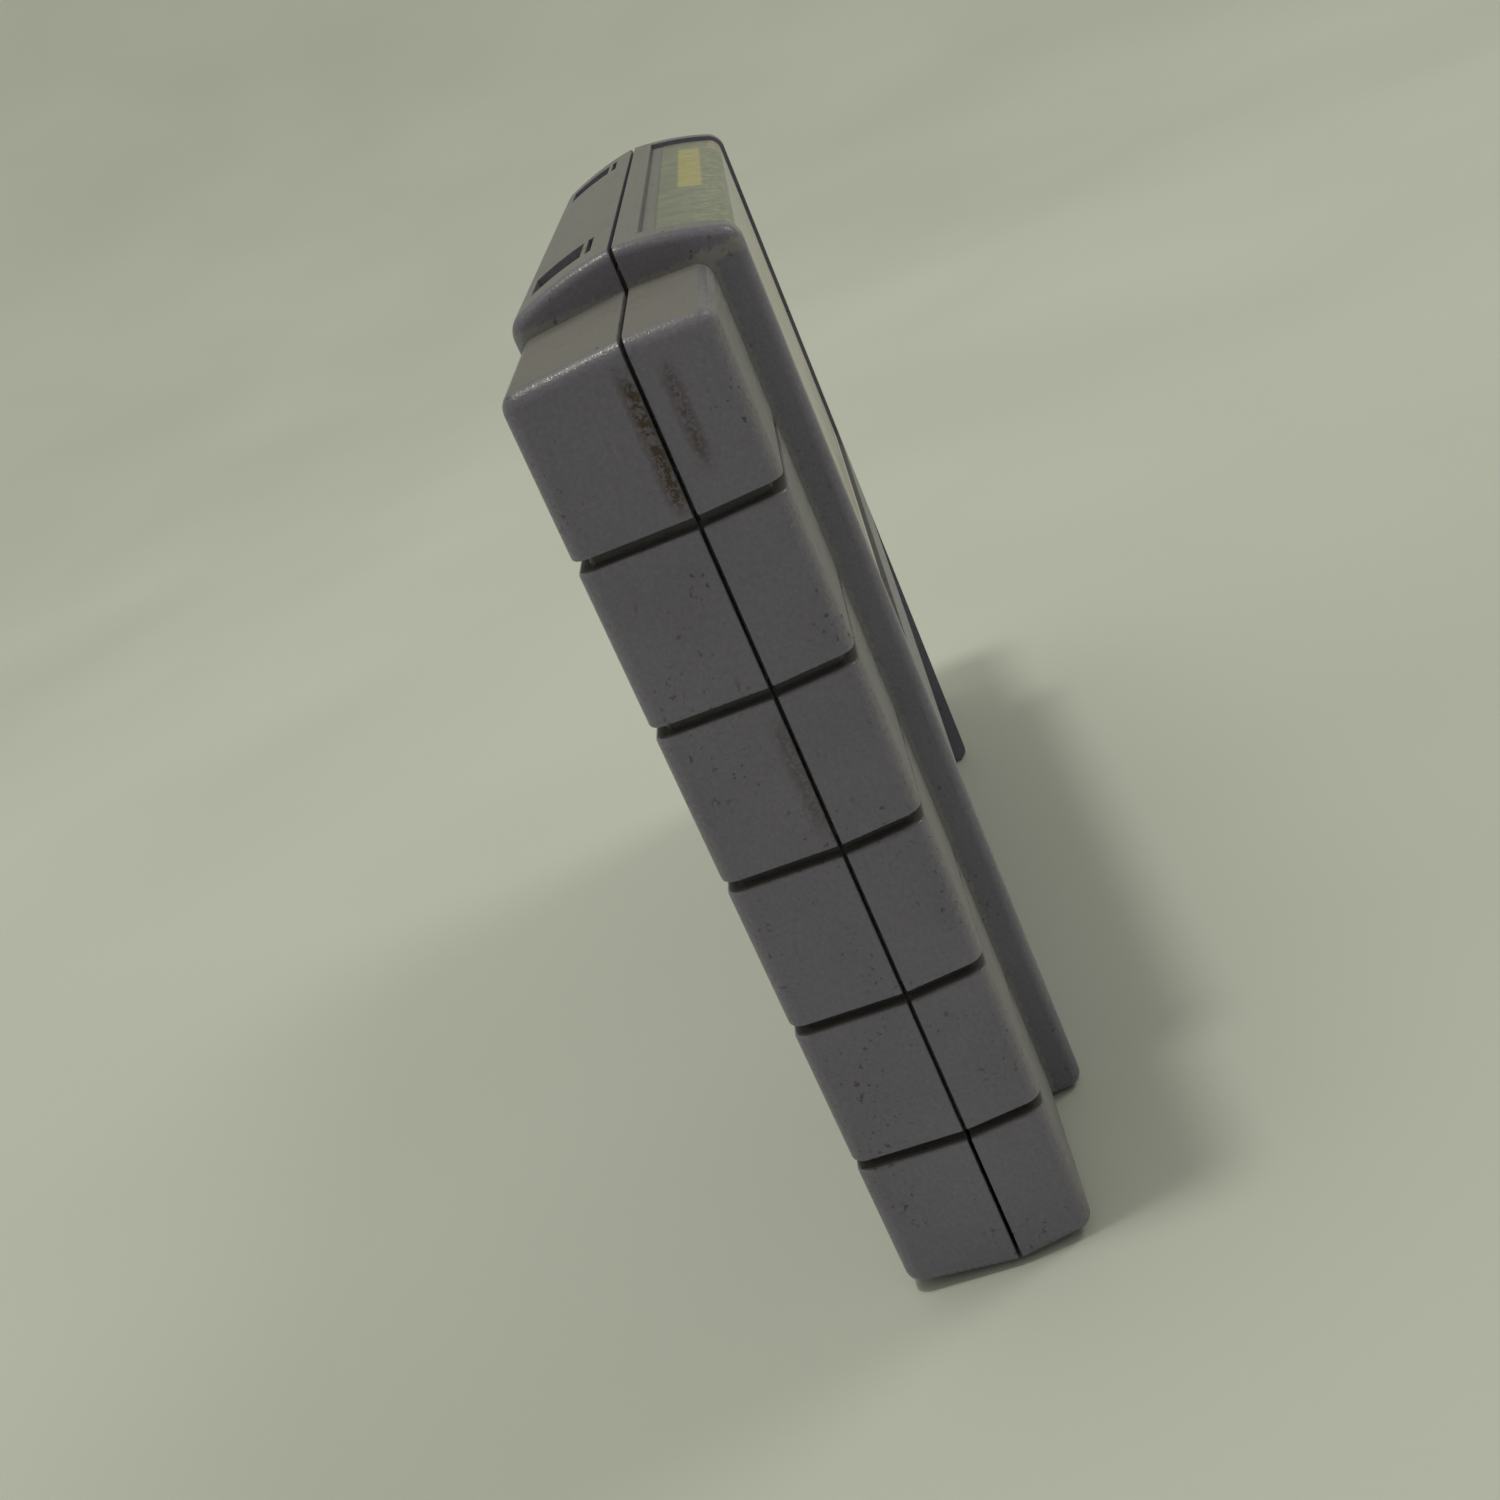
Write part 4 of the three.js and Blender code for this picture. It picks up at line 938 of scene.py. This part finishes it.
def resistor_lacquer():
    """Carbon-film resistor, dipped in tan lacquer, with painted rings 0.6 mm wide."""
    material, tree, shader = new_material("lacquered_resistor_ringed", IOR=1.5, Roughness=0.35)
    where, x, _, _ = place_in_mm(tree)
    colour = cover(tree, linear("#cdb78d"), spotted(tree, where, 0.8, 0.3, 0.7), 1.0, "#c0a877")
    # Both columns of resistors are 11 mm apart, so the rings repeat at that step.
    along = node(tree, "Math", (x, 32.0), operation="ADD")
    along = node(tree, "Math", (along, 11.0), operation="MODULO")
    for centre, ink in ((-1.6, "#6b3b1e"), (-0.6, "#1d1b1a"), (0.4, "#b5541c"), (1.8, "#b08a2e")):
        ring = apart(tree, along, centre % 11.0)
        colour = cover(tree, colour, node(tree, "MapRange", (ring, 0.26, 0.32, 1.0, 0.0)), 1.0, ink)
    wire(tree, shader, Base_Color=colour, Normal=grainy(tree, where, 0.5, 0.2, 0.02))
    return material


def board_laminate():
    """Glass laminate under green solder mask: traces 0.4 mm wide show as a lighter green."""
    material, tree, shader = new_material("glass_laminate_green_mask", IOR=1.52, Roughness=0.3)
    where = place_in_mm(tree)[0]
    upright = node(tree, "Mapping", {0: where, "Scale": (1.0, 1.0, 0.06)})
    lanes = node(tree, "TexVoronoi", {"Vector": upright, "Scale": 1 / 1.27, "Randomness": 0.25}, "Distance",
                 feature="DISTANCE_TO_EDGE")
    trace = all_of(tree, node(tree, "MapRange", (lanes, 0.16, 0.20, 1.0, 0.0)),
                   spotted(tree, where, 9.0, 0.44, 0.5, detail=2.0))
    cells = node(tree, "TexVoronoi", {"Vector": where, "Scale": 1 / 5.08, "Randomness": 0.8}, "Distance")
    via = node(tree, "MapRange", (cells, 0.09, 0.11, 1.0, 0.0))
    colour = cover(tree, linear("#235a33"), spotted(tree, where, 7.0, 0.3, 0.7), 1.0, "#1d4f2c")
    colour = cover(tree, colour, trace, 1.0, "#3c7d47")
    colour = cover(tree, colour, via, 1.0, "#b9b6a8")
    raised = node(tree, "Bump", {"Height": trace, "Strength": 0.5, "Distance": 0.03 * MM})
    wire(tree, shader, Base_Color=colour, Normal=grainy(tree, where, 0.5, 0.15, 0.02, under=raised))
    return material


def floor_paper():
    """Matt backdrop paper: pale, with a broad unevenness and a faint tooth."""
    stage = bpy.context.scene.cartridge_stage
    material, tree, shader = new_material("backdrop_paper_matt", IOR=1.45, Roughness=0.9,
                                          Specular_IOR_Level=0.2)
    where = place_in_mm(tree)[0]
    tone = spotted(tree, where, 160.0, 0.3, 0.7, detail=2.0)
    wire(tree, shader, Base_Color=cover(tree, linear(stage.floor), tone, 1.0, "#d4d4d1"),
         Normal=grainy(tree, where, 1.2, 0.08, 0.05, detail=3.0))
    return material


# ------------------------------------------------------------------ operators

class CARTRIDGE_OT_case(bpy.types.Operator):
    """Builds the front and rear halves of the case"""

    bl_idname = "cartridge.case"
    bl_label = "Case halves"

    def execute(self, context):
        plastic = case_plastic()
        piece("case_front_half", case_half(FRONT), plastic, ("front_shell",))
        piece("case_rear_half", case_half(REAR), plastic, ("rear_shell",))
        return {"FINISHED"}


class CARTRIDGE_OT_labels(bpy.types.Operator):
    """Builds the folded front label and the small rear label"""

    bl_idname = "cartridge.labels"
    bl_label = "Labels"

    def execute(self, context):
        art = labels()
        face = mm(art.recess_depth) - 0.01 - mm(art.thickness)
        top_edge = -mm(art.recess_top_edge) - mm(art.margin)
        under = middle_block(FRONT, inset=face + mm(art.thickness), half=mm(settings().centre_width) / 2 + 5,
                             rounded=False, overlap=2.0)
        sheet = carve(label_floor(face), [
            ("DIFFERENCE", under),
            ("INTERSECT", label_zone(-mm(art.margin), top_edge)),
        ])
        piece("printed_front_label", sheet, label_print(), ("front_label",), 50.0)
        low, high = BACK_LABEL_LOW, BACK_LABEL_HIGH
        back = cube(low.x, high.x, low.y - 0.2, low.y + 0.05, low.z, high.z)
        round_edges(back, along_depth(back), LABEL_CORNER, 8)
        round_edges(back, edges_where(back, lambda p: p.y > low.y), 0.05, 2)
        piece("blank_rear_label", back, plain_label(), ("rear_label",))
        return {"FINISHED"}


class CARTRIDGE_OT_screws(bpy.types.Operator):
    """Builds the two security screws at the foot of their holes"""

    bl_idname = "cartridge.screws"
    bl_label = "Screws"

    def execute(self, context):
        steel = metal("zinc_plated_steel_screw", "#c2c1bd", "#a3a19b", 0.3)
        front = SCREW_LOW.y / MM
        for hand, x in (("left", -SCREW_X), ("right", SCREW_X)):
            bm = spun([
                (0.0, front + 0.05), (1.3, front + 0.05), (1.6, front), (1.8, front + 0.12), (1.9, front + 0.3),
                (1.9, front + 1.3), (2.65, front + 1.33), (2.82, front + 1.42), (2.9, front + 1.6),
                (2.9, front + 2.1), (2.8, front + 2.2), (1.4, front + 2.2), (1.4, 5.6), (1.1, 6.4), (0.0, 6.8),
            ], x, SCREW_Z)
            hollows = []
            for i in range(6):
                turn = i / 6 * math.tau
                hollows.append(("DIFFERENCE", rod(x + 1.95 * math.cos(turn), SCREW_Z + 1.95 * math.sin(turn),
                                                  0.52, front - 1, front + 1.25, 24)))
            piece("screw_" + hand, carve(bm, hollows), steel, ("security_screw_" + hand,), 40.0)
        return {"FINISHED"}


class CARTRIDGE_OT_board(bpy.types.Operator):
    """Builds the circuit board and its gold edge contacts"""

    bl_idname = "cartridge.board"
    bl_label = "Circuit board"

    def execute(self, context):
        low, high = BOARD_LOW, BOARD_HIGH
        bm = cube(low.x, high.x, low.y, high.y, 20.0, high.z)
        round_edges(bm, along_depth(bm), 0.8, 4)
        tongue = cube(-29.2, 29.2, low.y, high.y, low.z, 24.0)
        foot = edges_where(tongue, lambda p: near(p.z, low.z))
        round_edges(tongue, foot, 0.35, 2)
        steps = [("UNION", tongue)]
        for x in PEG_PLACES:
            steps.append(("DIFFERENCE", rod(x, PEG_Z, 1.7, low.y - 1, high.y + 1)))
        for x in (-39, 39):
            steps.append(("DIFFERENCE", rod(x, 45, 0.8, low.y - 1, high.y + 1)))
        board = carve(bm, steps)
        piece("green_circuit_board", board, board_laminate(), ("circuit_board",))
        # A row of contacts on each face, rounded at the top: plated copper standing 0.05 mm proud.
        strips = bmesh.new()
        for side_y in (low.y - 0.02, high.y + 0.02):
            for i in range(CONTACT_COUNT):
                x = (i - CONTACT_COUNT // 2) * CONTACT_PITCH
                one = cube(x - CONTACT_HALF, x + CONTACT_HALF, side_y - 0.03, side_y + 0.03,
                           low.z + 0.8, CONTACT_TOP)
                round_edges(one, along_depth(one, lambda p: near(p.z, CONTACT_TOP)), 0.5, 4)
                mesh = bpy.data.meshes.new("strip")
                one.to_mesh(mesh)
                one.free()
                strips.from_mesh(mesh)
                bpy.data.meshes.remove(mesh)
        gold = metal("hard_gold_plated_contact", "#d6ad5b", "#bd9345", 0.24, (1.0, 1.0, 0.05))
        piece("edge_contacts", strips, gold)
        return {"FINISHED"}


class CARTRIDGE_OT_components(bpy.types.Operator):
    """Gives the chips, battery and small parts on the board their finishes"""

    bl_idname = "cartridge.components"
    bl_label = "Board components"

    def execute(self, context):
        epoxy = painted("chip_epoxy_transfer_moulded", "#2b2b2e", "#232327", 0.18, 0.55, 0.02, 1.55)
        nickel = metal("nickel_plated_can", "#c9c8c4", "#b3b1ab", 0.24, (0.08, 1.0, 1.0))
        strip = metal("nickel_strip_rolled", "#bdb8ac", "#a8a294", 0.32, (0.06, 1.0, 1.0))
        sleeve = painted("pvc_sleeve_shrunk", "#26325a", "#1f2a4c", 1.2, 0.32, 0.02, 1.53)
        ceramic = painted("ceramic_dipped_ochre", "#c1903a", "#a87a2c", 0.7, 0.4, 0.03)
        glass = painted("diode_glass_amber", "#b4542d", "#8f3e1f", 0.9, 0.12, 0.005, 1.52)
        rings = resistor_lacquer()
        finish_of = {"chip": epoxy, "save_battery": nickel, "battery_tab": strip, "filter_capacitor": sleeve,
                     "ceramic": ceramic, "resistor": rings, "diode": glass}
        for name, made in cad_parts.items():
            if made.hide_render:
                continue
            finish = next((finish_of[word] for word in finish_of if word in name), None)
            if finish is None:
                raise RuntimeError(f"no finish for {name}")
            made.data.materials.clear()
            made.data.materials.append(finish)
        return {"FINISHED"}


class CARTRIDGE_OT_stage(bpy.types.Operator):
    """Sets the pale floor, the soft lights and the camera"""

    bl_idname = "cartridge.stage"
    bl_label = "Stage"

    def execute(self, context):
        stage = context.scene.cartridge_stage
        # A wide floor whose far rim turns up all round, so no edge shows from any side.
        bm = bmesh.new()
        flat, sweep = 0.5, 1.1
        points = [(0.0, 0.0), (flat, 0.0)]
        for turn in range(5, 81, 5):
            t = math.radians(turn)
            points.append((flat + sweep * math.sin(t), sweep - sweep * math.cos(t)))
        verts = [bm.verts.new((r, 0, z)) for r, z in points]
        edges = [bm.edges.new(pair) for pair in zip(verts, verts[1:])]
        bmesh.ops.spin(bm, geom=verts + edges, cent=(0, 0, 0), axis=(0, 0, 1), angle=math.tau,
                       steps=96, use_merge=True)
        bmesh.ops.remove_doubles(bm, verts=bm.verts, dist=0.0005)
        bmesh.ops.recalc_face_normals(bm, faces=bm.faces)
        bmesh.ops.reverse_faces(bm, faces=bm.faces)
        floor = as_object("studio_floor", bm)
        floor.data.materials.append(floor_paper())
        floor.data.shade_smooth()
        # A hair below the part, so that the two never share a face.
        floor.data.transform(Matrix.Translation((0, 0, -0.0001)))

        # An even pale room, one small lamp overhead for glints, a soft window to the front and a
        # wash over the far floor. All share one faintly green white.
        glow = linear("#fbffe9")
        world = bpy.data.worlds.new("soft_room")
        context.scene.world = world
        world.use_nodes = True
        background = world.node_tree.nodes["Background"]
        background.inputs["Color"].default_value = glow
        background.inputs["Strength"].default_value = 0.26

        def lamp(name, place, target, size, watts):
            light = bpy.data.lights.new(name, "AREA")
            light.shape, light.size, light.energy = "DISK", size, watts
            light.color = glow[:3]
            made = bpy.data.objects.new(name, light)
            context.scene.collection.objects.link(made)
            aim = (Vector(target) - Vector(place)).to_track_quat("-Z", "Y")
            made.matrix_world = Matrix.Translation(place) @ aim.to_matrix().to_4x4()

        lamp("ceiling_lamp", (-0.08, 0.16, 1.15), (0, 0, 0.04), 0.11, 2.6)
        lamp("front_window", (0.25, -0.78, 0.85), (0, 0, 0.04), 0.4, 1.9)
        lamp("backdrop_wash", (0.1, 0.3, 1.3), (0.8, 1.0, 0.2), 0.8, 3.4)

        camera_data = bpy.data.cameras.new("view")
        camera_data.sensor_width = 36.0
        camera_data.lens = stage.lens
        camera_data.shift_y = stage.shift_y
        camera_data.clip_start, camera_data.clip_end = 0.01, 10.0
        camera = bpy.data.objects.new("view", camera_data)
        context.scene.collection.objects.link(camera)
        forward = Vector(stage.camera_forward).normalized()
        up = Vector(stage.camera_up)
        right = forward.cross(up).normalized()
        up = right.cross(forward)
        turn = Matrix((right, up, -forward)).transposed()
        camera.matrix_world = Matrix.Translation(stage.camera_place) @ turn.to_4x4()
        context.scene.camera = camera
        context.scene.view_settings.view_transform = "Standard"
        return {"FINISHED"}


OPERATORS = (
    CARTRIDGE_OT_case,
    CARTRIDGE_OT_labels,
    CARTRIDGE_OT_screws,
    CARTRIDGE_OT_board,
    CARTRIDGE_OT_components,
    CARTRIDGE_OT_stage,
)


class CARTRIDGE_PT_maker(bpy.types.Panel):
    """Lists the sizes, finishes and build steps of the cartridge"""

    bl_idname = "CARTRIDGE_PT_maker"
    bl_label = "Cartridge"
    bl_space_type = "VIEW_3D"
    bl_region_type = "UI"
    bl_category = "Cartridge"

    def draw(self, context):
        for group in (context.scene.cartridge_case, context.scene.cartridge_labels,
                      context.scene.cartridge_finish, context.scene.cartridge_stage):
            box = self.layout.box()
            for name in group.bl_rna.properties.keys():
                if name not in ("rna_type", "name"):
                    box.prop(group, name)
        for operator in OPERATORS:
            self.layout.operator(operator.bl_idname)


GROUPS = (CartridgeCaseSettings, CartridgeLabelSettings, CartridgeFinishSettings, CartridgeStageSettings)
CLASSES = GROUPS + OPERATORS + (CARTRIDGE_PT_maker,)


def register():
    for cls in CLASSES:
        bpy.utils.register_class(cls)
    bpy.types.Scene.cartridge_case = PointerProperty(type=CartridgeCaseSettings)
    bpy.types.Scene.cartridge_labels = PointerProperty(type=CartridgeLabelSettings)
    bpy.types.Scene.cartridge_finish = PointerProperty(type=CartridgeFinishSettings)
    bpy.types.Scene.cartridge_stage = PointerProperty(type=CartridgeStageSettings)


def unregister():
    for name in ("cartridge_case", "cartridge_labels", "cartridge_finish", "cartridge_stage"):
        delattr(bpy.types.Scene, name)
    for cls in reversed(CLASSES):
        bpy.utils.unregister_class(cls)


def main():
    register()
    bpy.ops.cartridge.case()
    bpy.ops.cartridge.labels()
    bpy.ops.cartridge.screws()
    bpy.ops.cartridge.board()
    bpy.ops.cartridge.components()
    bpy.ops.cartridge.stage()


if __name__ == "__main__":
    main()
